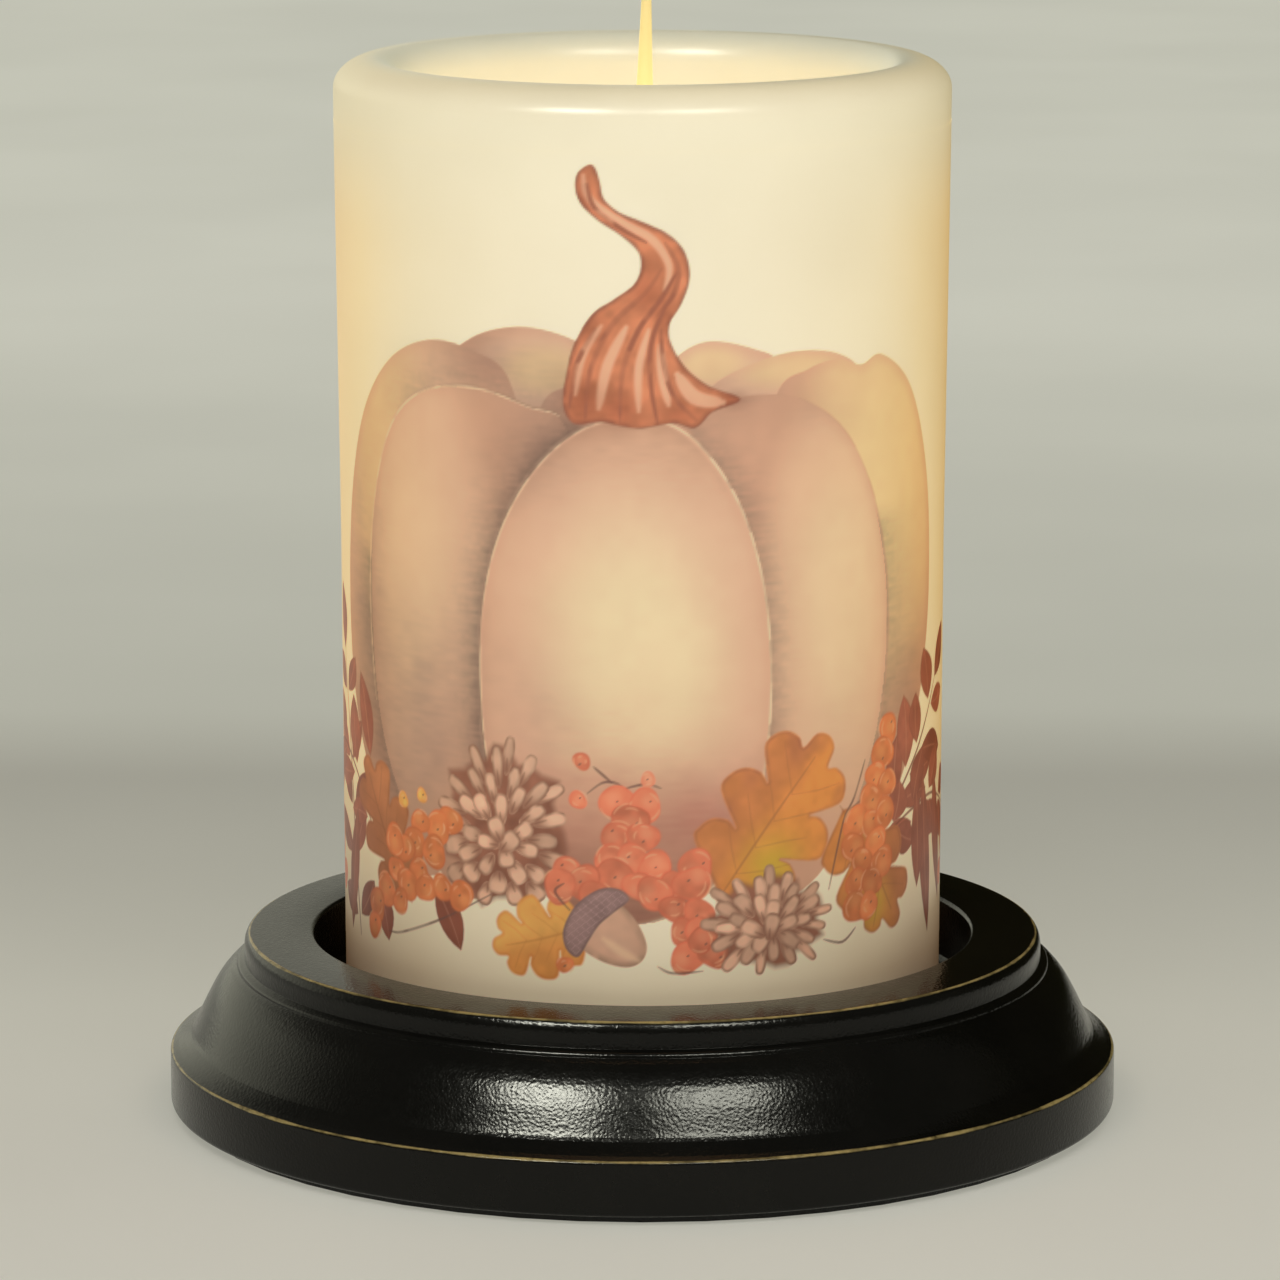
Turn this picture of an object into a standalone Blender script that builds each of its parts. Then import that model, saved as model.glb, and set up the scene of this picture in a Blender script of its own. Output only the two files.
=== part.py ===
"""Electric candle lamp: a turned black wood base that holds a hollow printed wax sleeve over a flame bulb.

Metres, +Z up. The origin is the middle of the lamp's underside, on the table. The sleeve's picture faces -Y
and the cord leaves the base at +Y.
"""

import bmesh
import bpy
from math import cos, pi, radians, sin
from mathutils import Matrix, Vector

MM = 0.001
GAP = 0.3 * MM                # air between two pieces that touch

# Driving dimensions
SLEEVE_RADIUS = 50.8 * MM     # a 4 inch sleeve
SLEEVE_HEIGHT = 160.0 * MM    # about 6 1/4 inches
BASE_RADIUS = 81.0 * MM       # the base's lowest band
BASE_TOP = 30.6 * MM          # the ring around the recess
RECESS_DEPTH = 10.9 * MM
FLAME_TOP = 205.0 * MM        # point of the bulb's silicone skin
CORD_WIDTH = 5.4 * MM
CORD_THICKNESS = 2.7 * MM

# Sleeve
SLEEVE_BOTTOM = BASE_TOP - RECESS_DEPTH + GAP
SLEEVE_TOP = SLEEVE_BOTTOM + SLEEVE_HEIGHT
SLEEVE_FLARE = 1.0 * MM       # the casting is wider at the rim
SLEEVE_BORE = 40.8 * MM
CREST_RADIUS = 45.2 * MM      # where the rim is highest
SHOULDER_DROP = 5.0 * MM      # from the crest to the outer wall
LIP_DROP = 5.4 * MM           # from the crest to the bore

# Base
RECESS_RADIUS = 56.2 * MM
FELT_THICKNESS = 1.2 * MM
FELT_RADIUS = 78.0 * MM
WOOD_BOTTOM = FELT_THICKNESS + GAP
BAND_TOP = 10.7 * MM
# The turned moulding in mm (radius, height): ring arris, lip, ledge, long rounded slope, cove, band arris
MOULDING_OUTLINE = (
    (67.1, 30.6), (67.45, 30.45), (68.05, 29.4), (68.2, 28.3), (68.2, 26.15), (69.15, 25.75),
    (69.5, 24.95), (70.6, 24.25), (71.6, 23.25), (73.1, 21.3), (74.3, 19.15), (75.5, 16.75),
    (76.95, 13.75), (77.4, 13.1), (78.5, 12.15), (79.6, 11.35), (80.6, 10.8),
)
POCKET_RADIUS = 20.0 * MM
POCKET_TOP = 11.0 * MM
RECESS_FLOOR = BASE_TOP - RECESS_DEPTH
CORD_HOLE_HEIGHT = 6.4 * MM
CORD_HOLE_RADIUS = 4.4 * MM

# Lamp hardware on the axis
NIPPLE_RADIUS = 5.0 * MM
NIPPLE_BORE = 3.3 * MM
NIPPLE_BOTTOM = 5.6 * MM
NIPPLE_TOP = 28.5 * MM
WASHER_RADIUS = 11.0 * MM
WASHER_THICKNESS = 1.1 * MM
LOCKNUT_ACROSS_CORNERS = 16.0 * MM
LOCKNUT_HEIGHT = 3.0 * MM
BRACKET_BOTTOM = 25.4 * MM
BRACKET_TOP = 48.5 * MM
BRACKET_THICKNESS = 1.0 * MM
BRACKET_WIDTH = 9.0 * MM
BRACKET_LEG_Y = 9.4 * MM
HOUSING_RADIUS = 10.9 * MM
HOUSING_BASE_RADIUS = 8.2 * MM
HOUSING_BOTTOM = BRACKET_TOP + GAP
HOUSING_TOP = 82.0 * MM
HOUSING_FLOOR = 57.5 * MM
HOUSING_BORE = 7.2 * MM
TERMINAL_HEIGHT = 54.2 * MM
COVER_RADIUS = 12.3 * MM
COVER_BORE = 11.3 * MM
COVER_TOP = 84.0 * MM

# Bulb
THREAD_PITCH = 2.54 * MM
CAP_CREST = 5.9 * MM
CAP_ROOT = 5.45 * MM
CAP_BORE = 5.15 * MM
CAP_BOTTOM = 64.8 * MM
CAP_TOP = 80.0 * MM
NECK_RADIUS = 4.8 * MM
GLASS_BOTTOM = 67.0 * MM
GLASS_WALL = 0.8 * MM
SKIN_THICKNESS = 0.8 * MM
SKIN_BOTTOM = 83.5 * MM

# Cord, in-line switch and plug, which lie on the table behind the base
CORD_REST = CORD_THICKNESS / 2 + 0.3 * MM
COIL_CENTRE_Y = 138.0 * MM
COIL_RADIUS = 38.0 * MM
COIL_TURNS = 4.25
COIL_PITCH = 3.2 * MM
LEAD_ARC_RADIUS = 45.5 * MM
SWITCH_CENTRE = Vector((0.0, 192.0 * MM, 0.0))
SWITCH_LENGTH = 58.0 * MM
SWITCH_WIDTH = 24.0 * MM
SWITCH_HEIGHT = 15.0 * MM
SWITCH_WALL = 1.6 * MM
SWITCH_MIDDLE = SWITCH_HEIGHT / 2
WHEEL_RADIUS = 9.5 * MM
WHEEL_THICKNESS = 3.0 * MM
WHEEL_OFFSET = 5.0 * MM       # from the middle of the switch towards its thumb side
PLUG_REAR_X = 15.0 * MM
PLUG_LENGTH = 26.0 * MM
PLUG_WIDTH = 23.0 * MM
PLUG_HEIGHT = 12.6 * MM
BLADE_SPACING = 12.7 * MM
BLADE_LENGTH = 17.5 * MM
BLADE_THICKNESS = 1.5 * MM
BLADE_ROOT = 7.0 * MM

ROUND_STEPS = 48              # the large turned pieces
SMALL_STEPS = 20              # the lamp hardware

for old in list(bpy.data.objects):
    bpy.data.objects.remove(old, do_unlink=True)

parts = bpy.data.collections.new("candle_lamp")
cutters = bpy.data.collections.new("cutters")
bpy.context.scene.collection.children.link(parts)
bpy.context.scene.collection.children.link(cutters)


def material(name, colour, roughness, metallic=0.0, alpha=1.0):
    made = bpy.data.materials.new(name)
    made.use_nodes = True
    shader = made.node_tree.nodes["Principled BSDF"]
    shader.inputs["Base Color"].default_value = (*colour, 1.0)
    shader.inputs["Roughness"].default_value = roughness
    shader.inputs["Metallic"].default_value = metallic
    shader.inputs["Alpha"].default_value = alpha
    return made


BLACK_PAINT = ("black_paint", (0.012, 0.012, 0.010), 0.33)
FELT = ("felt", (0.02, 0.02, 0.02), 0.95)
WAX = ("wax", (0.86, 0.76, 0.55), 0.45)
ZINC = ("zinc_steel", (0.55, 0.55, 0.53), 0.35, 1.0)
BRASS = ("brass", (0.72, 0.53, 0.24), 0.3, 1.0)
NICKEL = ("nickel", (0.66, 0.63, 0.58), 0.28, 1.0)
PHENOLIC = ("phenolic", (0.018, 0.016, 0.015), 0.42)
FIBRE = ("fibre_tube", (0.78, 0.70, 0.54), 0.7)
GLASS = ("bulb_glass", (0.95, 0.90, 0.80), 0.05, 0.0, 0.35)
BLACK_GLASS = ("black_glass", (0.01, 0.01, 0.012), 0.15)
TUNGSTEN = ("tungsten", (0.5, 0.48, 0.45), 0.4, 1.0)
SILICONE = ("amber_silicone", (0.80, 0.42, 0.10), 0.3)
INSULATION = ("wire_insulation", (0.02, 0.02, 0.02), 0.5)
CORD = ("cord_vinyl", (0.045, 0.028, 0.018), 0.45)
PLASTIC = ("moulded_plastic", (0.05, 0.03, 0.02), 0.4)


def add(name, mesh_or_curve, finish, collection=parts):
    """A named object that holds this mesh or curve, with its own material."""
    made = bpy.data.objects.new(name, mesh_or_curve)
    collection.objects.link(made)
    if collection is cutters:
        made.hide_render = True
        made.display_type = "WIRE"
    else:
        colours = material(name + "_" + finish[0], *finish[1:])
        mesh_or_curve.materials.append(colours)
    return made


def smooth(mesh, sharp_degrees=35):
    mesh.shade_smooth()
    mesh.set_sharp_from_angle(angle=radians(sharp_degrees))


def oval_arc(centre, across, up, start, end, count):
    """Points (x, y) on part of an ellipse, between two angles in degrees, both ends included."""
    turn = [radians(start + (end - start) * step / (count - 1)) for step in range(count)]
    return [(centre[0] + across * cos(angle), centre[1] + up * sin(angle)) for angle in turn]


def arc(centre, radius, start, end, count):
    return oval_arc(centre, radius, radius, start, end, count)


def turned(name, outline, finish, steps=SMALL_STEPS, ring=True, collection=parts):
    """A lathe shape: (radius, height) points down the outer side, closed into a ring or open at the axis."""
    count = len(outline)
    edges = [(step, step + 1) for step in range(count - 1)]
    if ring:
        edges.append((count - 1, 0))
    mesh = bpy.data.meshes.new(name)
    mesh.from_pydata([(radius, 0.0, height) for radius, height in outline], edges, [])
    made = add(name, mesh, finish, collection)
    screw = made.modifiers.new("turn", "SCREW")
    screw.axis = "Z"
    screw.steps = steps
    screw.render_steps = steps
    screw.use_merge_vertices = True
    screw.merge_threshold = 1e-6
    screw.use_smooth_shade = True
    return made


def tube(name, radius, bore, bottom, top, finish, steps=SMALL_STEPS):
    outline = [(radius, top), (radius, bottom), (bore, bottom), (bore, top)]
    return turned(name, outline, finish, steps)


def finished_mesh(made):
    """Replaces an object's modifiers, or its curve, with the mesh that they make."""
    graph = bpy.context.evaluated_depsgraph_get()
    mesh = bpy.data.meshes.new_from_object(made.evaluated_get(graph))
    weld = bmesh.new()
    weld.from_mesh(mesh)
    bmesh.ops.remove_doubles(weld, verts=weld.verts, dist=1e-6)
    weld.to_mesh(mesh)
    weld.free()
    name, place, home = made.name, made.matrix_world.copy(), made.users_collection[0]
    bpy.data.objects.remove(made, do_unlink=True)
    mesh.name = name
    new = bpy.data.objects.new(name, mesh)
    home.objects.link(new)
    new.matrix_world = place
    if home is cutters:
        new.hide_render = True
        new.display_type = "WIRE"
    return new


def boolean(target, other, operation):
    made = target.modifiers.new(operation.lower(), "BOOLEAN")
    made.operation = operation
    made.solver = "EXACT"
    made.object = other
    return made


def rounded_box(name, low, high, finish=None, bevel=0.0, segments=2, collection=parts):
    low, high = Vector(low), Vector(high)
    shape = bmesh.new()
    bmesh.ops.create_cube(shape, size=1.0)
    sides = high - low
    bmesh.ops.scale(shape, vec=sides, verts=shape.verts)
    mesh = bpy.data.meshes.new(name)
    shape.to_mesh(mesh)
    shape.free()
    made = add(name, mesh, finish, collection)
    made.location = (low + high) / 2
    if bevel:
        edge = made.modifiers.new("edges", "BEVEL")
        edge.width = bevel
        edge.segments = segments
        smooth(mesh)
    return made


def rod(name, start, end, radius, finish=None, steps=16, collection=parts, end_radius=None):
    """A cylinder, or a cone, between two points."""
    start, end = Vector(start), Vector(end)
    shape = bmesh.new()
    bmesh.ops.create_cone(
        shape, cap_ends=True, segments=steps, radius1=radius, depth=(end - start).length,
        radius2=radius if end_radius is None else end_radius,
    )
    mesh = bpy.data.meshes.new(name)
    shape.to_mesh(mesh)
    shape.free()
    smooth(mesh)
    made = add(name, mesh, finish, collection)
    made.matrix_world = (
        Matrix.Translation((start + end) / 2)
        @ (end - start).to_track_quat("Z", "Y").to_matrix().to_4x4()
    )
    return made


def wire(name, points, radius, finish, bevel_resolution=2):
    curve = bpy.data.curves.new(name, "CURVE")
    curve.dimensions = "3D"
    curve.bevel_depth = radius
    curve.bevel_resolution = bevel_resolution
    curve.use_fill_caps = True
    line = curve.splines.new("POLY")
    line.points.add(len(points) - 1)
    for point, place in zip(line.points, points):
        point.co = (*place, 1.0)
    return add(name, curve, finish)


def leg(start, leave, end, arrive, count):
    """Points on a smooth run from start to end that leaves and arrives in the given directions."""
    start, end = Vector(start), Vector(end)
    reach = (end - start).length
    leave = Vector(leave).normalized() * reach
    arrive = Vector(arrive).normalized() * reach
    run = []
    for step in range(1, count + 1):
        t = step / count
        run.append(
            start * (2 * t**3 - 3 * t**2 + 1) + leave * (t**3 - 2 * t**2 + t)
            + end * (3 * t**2 - 2 * t**3) + arrive * (t**3 - t**2)
        )
    return run


def wood_base():
    outline = [(RECESS_RADIUS + 0.5 * MM, BASE_TOP)]
    outline += [(radius * MM, height * MM) for radius, height in MOULDING_OUTLINE]
    outline.append((BASE_RADIUS, BAND_TOP - 0.3 * MM))
    outline += [(BASE_RADIUS, WOOD_BOTTOM + 1.3 * MM), (BASE_RADIUS - 1.3 * MM, WOOD_BOTTOM)]
    outline += [(POCKET_RADIUS, WOOD_BOTTOM), (POCKET_RADIUS, POCKET_TOP)]
    bore = NIPPLE_RADIUS + GAP
    outline += [(bore, POCKET_TOP), (bore, RECESS_FLOOR), (RECESS_RADIUS - 0.8 * MM, RECESS_FLOOR)]
    outline += [(RECESS_RADIUS, RECESS_FLOOR + 0.8 * MM), (RECESS_RADIUS, BASE_TOP - 0.5 * MM)]
    base = turned("wood_base", outline, BLACK_PAINT, ROUND_STEPS)
    inner, outer = POCKET_RADIUS - 4 * MM, BASE_RADIUS + 4 * MM
    start, end = (0, inner, CORD_HOLE_HEIGHT), (0, outer, CORD_HOLE_HEIGHT)
    hole = rod("cord_hole_cutter", start, end, CORD_HOLE_RADIUS, steps=16, collection=cutters)
    boolean(base, hole, "DIFFERENCE")


def felt_pad():
    outline = [(0.0, FELT_THICKNESS), (FELT_RADIUS, FELT_THICKNESS), (FELT_RADIUS, 0.0), (0.0, 0.0)]
    turned("felt_pad", outline, FELT, ROUND_STEPS, ring=False)


def wax_sleeve():
    shoulder = SLEEVE_RADIUS + SLEEVE_FLARE - CREST_RADIUS
    outer = oval_arc((CREST_RADIUS, SLEEVE_TOP - SHOULDER_DROP), shoulder, SHOULDER_DROP, 90, 0, 6)
    lip = CREST_RADIUS - SLEEVE_BORE
    inner = oval_arc((CREST_RADIUS, SLEEVE_TOP - LIP_DROP), lip, LIP_DROP, 180, 90, 5)
    middle = (SLEEVE_BOTTOM + SLEEVE_TOP) / 2
    outline = outer + [(SLEEVE_RADIUS + 0.2 * MM, middle), (SLEEVE_RADIUS, SLEEVE_BOTTOM + 0.6 * MM)]
    outline += [(SLEEVE_RADIUS - 0.6 * MM, SLEEVE_BOTTOM), (SLEEVE_BORE, SLEEVE_BOTTOM)] + inner
    turned("wax_sleeve", outline, WAX, ROUND_STEPS)


def locknut(name, bottom):
    nut = rod(name, (0, 0, bottom), (0, 0, bottom + LOCKNUT_HEIGHT),
              LOCKNUT_ACROSS_CORNERS / 2, BRASS, steps=6)
    start, end = (0, 0, bottom - MM), (0, 0, bottom + LOCKNUT_HEIGHT + MM)
    hole = rod(name + "_cutter", start, end, NIPPLE_RADIUS + GAP, steps=SMALL_STEPS, collection=cutters)
    boolean(nut, hole, "DIFFERENCE")


def riser():
    """The threaded tube through the base and what clamps it: washer and nut above, washer and nut below."""
    ridge, outline = 1.0 * MM, [(NIPPLE_RADIUS - 0.5 * MM, NIPPLE_TOP)]
    height = NIPPLE_TOP - 0.5 * MM
    while height > NIPPLE_BOTTOM + 2 * ridge:
        outline += [(NIPPLE_RADIUS, height), (NIPPLE_RADIUS - 0.4 * MM, height - ridge)]
        height -= 2 * ridge
    outline += [(NIPPLE_RADIUS - 0.5 * MM, NIPPLE_BOTTOM), (NIPPLE_BORE, NIPPLE_BOTTOM)]
    outline += [(NIPPLE_BORE, NIPPLE_TOP)]
    turned("threaded_nipple", outline, ZINC, 16)
    bore = NIPPLE_RADIUS + GAP
    washer = RECESS_FLOOR + GAP
    tube("top_washer", COVER_RADIUS + 2 * MM, bore, washer, washer + WASHER_THICKNESS, ZINC)
    locknut("top_locknut", washer + WASHER_THICKNESS + GAP)
    washer = POCKET_TOP - GAP - WASHER_THICKNESS
    tube("bottom_washer", WASHER_RADIUS, bore, washer, washer + WASHER_THICKNESS, ZINC)
    locknut("bottom_locknut", washer - GAP - LOCKNUT_HEIGHT)


def socket_bracket():
    """A threaded ring on the nipple, and a strap bent up from it that carries the socket."""
    half = BRACKET_THICKNESS / 2
    path = [(-5.0 * MM, BRACKET_TOP - half), (BRACKET_LEG_Y, BRACKET_TOP - half)]
    path += [(BRACKET_LEG_Y, BRACKET_BOTTOM + half), (6.0 * MM, BRACKET_BOTTOM + half)]
    shape = bmesh.new()
    corners = [shape.verts.new((-BRACKET_WIDTH / 2, y, z)) for y, z in path]
    rows = [shape.edges.new(pair) for pair in zip(corners, corners[1:])]
    swept = bmesh.ops.extrude_edge_only(shape, edges=rows)["geom"]
    moved = [item for item in swept if isinstance(item, bmesh.types.BMVert)]
    bmesh.ops.translate(shape, verts=moved, vec=(BRACKET_WIDTH, 0, 0))
    bmesh.ops.recalc_face_normals(shape, faces=shape.faces)
    mesh = bpy.data.meshes.new("socket_bracket")
    shape.to_mesh(mesh)
    shape.free()
    strap = add("socket_bracket", mesh, ZINC)
    skin = strap.modifiers.new("thickness", "SOLIDIFY")
    skin.thickness = BRACKET_THICKNESS
    skin.offset = 0.0
    skin.use_even_offset = True
    start, end = (0, 0, BRACKET_BOTTOM - 0.1 * MM), (0, 0, BRACKET_BOTTOM + 1.7 * MM)
    ring = rod("bracket_ring", start, end, 8.5 * MM, steps=SMALL_STEPS, collection=cutters)
    boolean(strap, ring, "UNION")
    holes = (
        ("bracket_bore_cutter", BRACKET_BOTTOM, NIPPLE_RADIUS + GAP),
        ("bracket_screw_cutter", BRACKET_TOP, 1.7 * MM),
    )
    for name, height, radius in holes:
        start, end = (0, 0, height - 3 * MM), (0, 0, height + 3 * MM)
        hole = rod(name, start, end, radius, steps=SMALL_STEPS, collection=cutters)
        boolean(strap, hole, "DIFFERENCE")
    under = BRACKET_TOP - BRACKET_THICKNESS - GAP
    head = [(1.3 * MM, HOUSING_BOTTOM + 4 * MM), (1.3 * MM, under)]
    head += [(2.8 * MM, under), (2.8 * MM, under - 1.4 * MM)]
    axis = [(0.0, HOUSING_BOTTOM + 4 * MM)]
    turned("bracket_screw", axis + head + [(0.0, under - 1.4 * MM)], ZINC, 12, ring=False)


def screw_head(name, side):
    """A terminal screw that enters the socket's foot from one side."""
    face = HOUSING_BASE_RADIUS + 0.5 * MM
    outline = [(0.0, 1.3 * MM), (2.2 * MM, 1.1 * MM), (2.2 * MM, 0.0), (1.2 * MM, 0.0)]
    outline += [(1.2 * MM, -3.4 * MM), (0.0, -3.4 * MM)]
    screw = turned(name, outline, BRASS, 12, ring=False)
    screw.rotation_euler = (0, side * pi / 2, 0)
    screw.location = (side * face, 0, TERMINAL_HEIGHT)


def lamp_socket():
    """The moulded socket with its threaded shell, its contact and its two terminal screws."""
    shoulder = HOUSING_FLOOR + 1.5 * MM
    outline = [(HOUSING_RADIUS - 0.6 * MM, HOUSING_TOP), (HOUSING_RADIUS, HOUSING_TOP - 0.8 * MM)]
    outline += [(HOUSING_RADIUS, shoulder), (HOUSING_BASE_RADIUS, shoulder - 1.5 * MM)]
    outline += [(HOUSING_BASE_RADIUS, HOUSING_BOTTOM), (1.6 * MM, HOUSING_BOTTOM)]
    outline += [(1.6 * MM, HOUSING_FLOOR), (HOUSING_BORE, HOUSING_FLOOR), (HOUSING_BORE, HOUSING_TOP)]
    housing = turned("socket_housing", outline, PHENOLIC, SMALL_STEPS)
    for name, side in (("line", 1), ("neutral", -1)):
        start = (side * 4.5 * MM, 0, TERMINAL_HEIGHT)
        end = (side * 12 * MM, 0, TERMINAL_HEIGHT)
        hole = rod(name + "_terminal_cutter", start, end, 1.5 * MM, steps=12, collection=cutters)
        boolean(housing, hole, "DIFFERENCE")
        screw_head("terminal_screw_" + name, side)
    shell = [(6.95 * MM, HOUSING_TOP - 0.4 * MM)]
    shell += [(6.95 * MM, 61.0 * MM), (6.6 * MM, 61.0 * MM)]
    height = 61.0 * MM + THREAD_PITCH / 2
    while height < HOUSING_TOP - THREAD_PITCH / 2:
        shell += [(6.3 * MM, height), (6.6 * MM, height + THREAD_PITCH / 2)]
        height += THREAD_PITCH
    shell += [(6.6 * MM, HOUSING_TOP - 0.4 * MM)]
    turned("socket_screw_shell", shell, NICKEL, 16)
    floor = HOUSING_FLOOR + GAP
    outline = [(0.0, floor + 1.2 * MM), (1.6 * MM, floor + 1.0 * MM), (4.0 * MM, floor + 0.5 * MM)]
    turned("socket_center_contact", outline + [(4.0 * MM, floor), (0.0, floor)], BRASS, 12, ring=False)
    low = RECESS_FLOOR + GAP + WASHER_THICKNESS + GAP
    tube("candle_cover", COVER_RADIUS, COVER_BORE, low, COVER_TOP, FIBRE, 24)


def envelope(offset):
    """(radius, height) points down the torpedo glass, moved outwards by an offset."""
    shoulder, widest, crown = CAP_TOP + GAP, 100.0 * MM, 124.2 * MM
    belly = 11.4 * MM
    points = [(0.0, crown + offset)]
    for fraction in (0.985, 0.95, 0.85, 0.66, 0.37, 0.0):
        radius = belly * (1 - fraction**2.4) ** 0.6
        lift = offset * fraction
        points.append((radius + offset, widest + fraction * (crown - widest) + lift))
    for fraction in (0.6, 0.35, 0.16, 0.0):
        radius = NECK_RADIUS + (belly - NECK_RADIUS) * sin(fraction * pi / 2) ** 1.5
        points.append((radius + offset, shoulder + fraction * (widest - shoulder)))
    return points


def bulb():
    outline, height = [(CAP_ROOT, CAP_TOP)], CAP_TOP - THREAD_PITCH
    outline.append((CAP_ROOT, height))
    while height > CAP_BOTTOM + THREAD_PITCH:
        outline += [(CAP_CREST, height - THREAD_PITCH / 2), (CAP_ROOT, height - THREAD_PITCH)]
        height -= THREAD_PITCH
    outline += [(CAP_ROOT, CAP_BOTTOM), (CAP_BORE, CAP_BOTTOM), (CAP_BORE, CAP_TOP)]
    turned("bulb_cap", outline, NICKEL, 16)
    contact_top = HOUSING_FLOOR + 3.6 * MM
    outline = [(0.0, 64.6 * MM), (4.9 * MM, 64.5 * MM), (2.9 * MM, contact_top + GAP)]
    turned("bulb_insulator", outline + [(0.0, contact_top + GAP)], BLACK_GLASS, 16, ring=False)
    low = HOUSING_FLOOR + 1.9 * MM
    outline = [(0.0, contact_top), (2.2 * MM, contact_top), (1.8 * MM, low + 0.4 * MM), (0.0, low)]
    turned("bulb_contact", outline, NICKEL, 12, ring=False)
    bulb_glass()
    bulb_inside()
    silicone_flame()


def bulb_glass():
    outer = envelope(0.0)
    inner = [point for point in reversed(envelope(-GLASS_WALL)) if point[0] > GLASS_WALL]
    outline = outer + [(NECK_RADIUS, GLASS_BOTTOM), (NECK_RADIUS - GLASS_WALL, GLASS_BOTTOM)]
    outline += inner + [(0.0, outer[0][1] - GLASS_WALL)]
    turned("bulb_glass", outline, GLASS, 24, ring=False)


def bulb_inside():
    """The glass mount, and the lead wires with the filament that hangs between them."""
    outline = [(0.0, 93.0 * MM), (1.5 * MM, 92.0 * MM), (1.7 * MM, 80.0 * MM)]
    outline += [(3.4 * MM, GLASS_BOTTOM + MM), (0.0, GLASS_BOTTOM + MM)]
    turned("bulb_stem", outline, GLASS, 12, ring=False)
    zigzag = 6
    peak = 104.0 * MM
    points = [Vector((-0.9 * MM, 0, 93.6 * MM)), Vector((-4.0 * MM, 0, peak))]
    for step in range(1, zigzag):
        across = -4.0 * MM + 8.0 * MM * step / zigzag
        points.append(Vector((across, 0, peak + (1.0 if step % 2 else -0.4) * MM)))
    points += [Vector((4.0 * MM, 0, peak)), Vector((0.9 * MM, 0, 93.6 * MM))]
    wire("bulb_filament", points, 0.28 * MM, TUNGSTEN, 0)


def silicone_flame():
    """The rubber skin on the glass, drawn out into a long flame point."""
    drawn = [(0.0, FLAME_TOP), (0.42 * MM, FLAME_TOP - 0.8 * MM), (0.68 * MM, 194 * MM)]
    drawn += [(1.3 * MM, 177 * MM), (2.2 * MM, 160 * MM), (3.6 * MM, 145 * MM), (5.9 * MM, 132 * MM)]
    drawn.append((8.4 * MM, 123.5 * MM))
    outer = [point for point in envelope(GAP + SKIN_THICKNESS)[4:] if point[1] > SKIN_BOTTOM]
    inner = [point for point in envelope(GAP) if point[1] > SKIN_BOTTOM]
    outline = drawn + outer + [(outer[-1][0] - SKIN_THICKNESS, outer[-1][1])] + inner[-2::-1]
    turned("silicone_flame", outline, SILICONE, 24, ring=False)


def leads():
    """Two insulated wires from the pocket, up the nipple's bore, to the terminal screws."""
    for name, side in (("line_lead", 1), ("neutral_lead", -1)):
        near, far = side * 1.5 * MM, side * (HOUSING_BASE_RADIUS + 1.3 * MM)
        bend = ((9.0, 3.0), (2.4, 3.0), (0.7, 3.7), (0.0, 5.4))
        points = [Vector((near, y * MM, z * MM)) for y, z in bend]
        points.append(Vector((near, 0, NIPPLE_TOP + MM)))
        points += leg(points[-1], (0, 0, 1), (far, 0, 47.5 * MM), (0, 0, 1), 5)
        points.append(Vector((far, 0, TERMINAL_HEIGHT - 2.2 * MM - 1.2 * MM)))
        wire(name, points, 1.05 * MM, INSULATION, 0)


def cord_section():
    """The flat twin section that both lengths of cord are swept from: two lobes side by side."""
    lobe, reach = CORD_THICKNESS / 2, (CORD_WIDTH - CORD_THICKNESS) / 2
    curve = bpy.data.curves.new("cord_section", "CURVE")
    curve.dimensions = "2D"
    line = curve.splines.new("POLY")
    outline = arc((reach, 0), lobe, -60, 60, 4) + arc((-reach, 0), lobe, 120, 240, 4)
    waist = 0.78 * lobe
    outline = outline[:4] + [(0.0, waist)] + outline[4:] + [(0.0, -waist)]
    outline.reverse()
    line.points.add(len(outline) - 1)
    for point, place in zip(line.points, outline):
        point.co = (*place, 0.0, 1.0)
    line.use_cyclic_u = True
    return add("cord_section", curve, None, cutters)


def cord(name, points, section):
    made = wire(name, points, 0.0, CORD)
    made.data.bevel_mode = "OBJECT"
    made.data.bevel_object = section
    made.data.twist_mode = "Z_UP"
    return made


def coil_point(angle_degrees, radius, height):
    angle = radians(angle_degrees)
    return Vector((radius * cos(angle), COIL_CENTRE_Y + radius * sin(angle), height))


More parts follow.
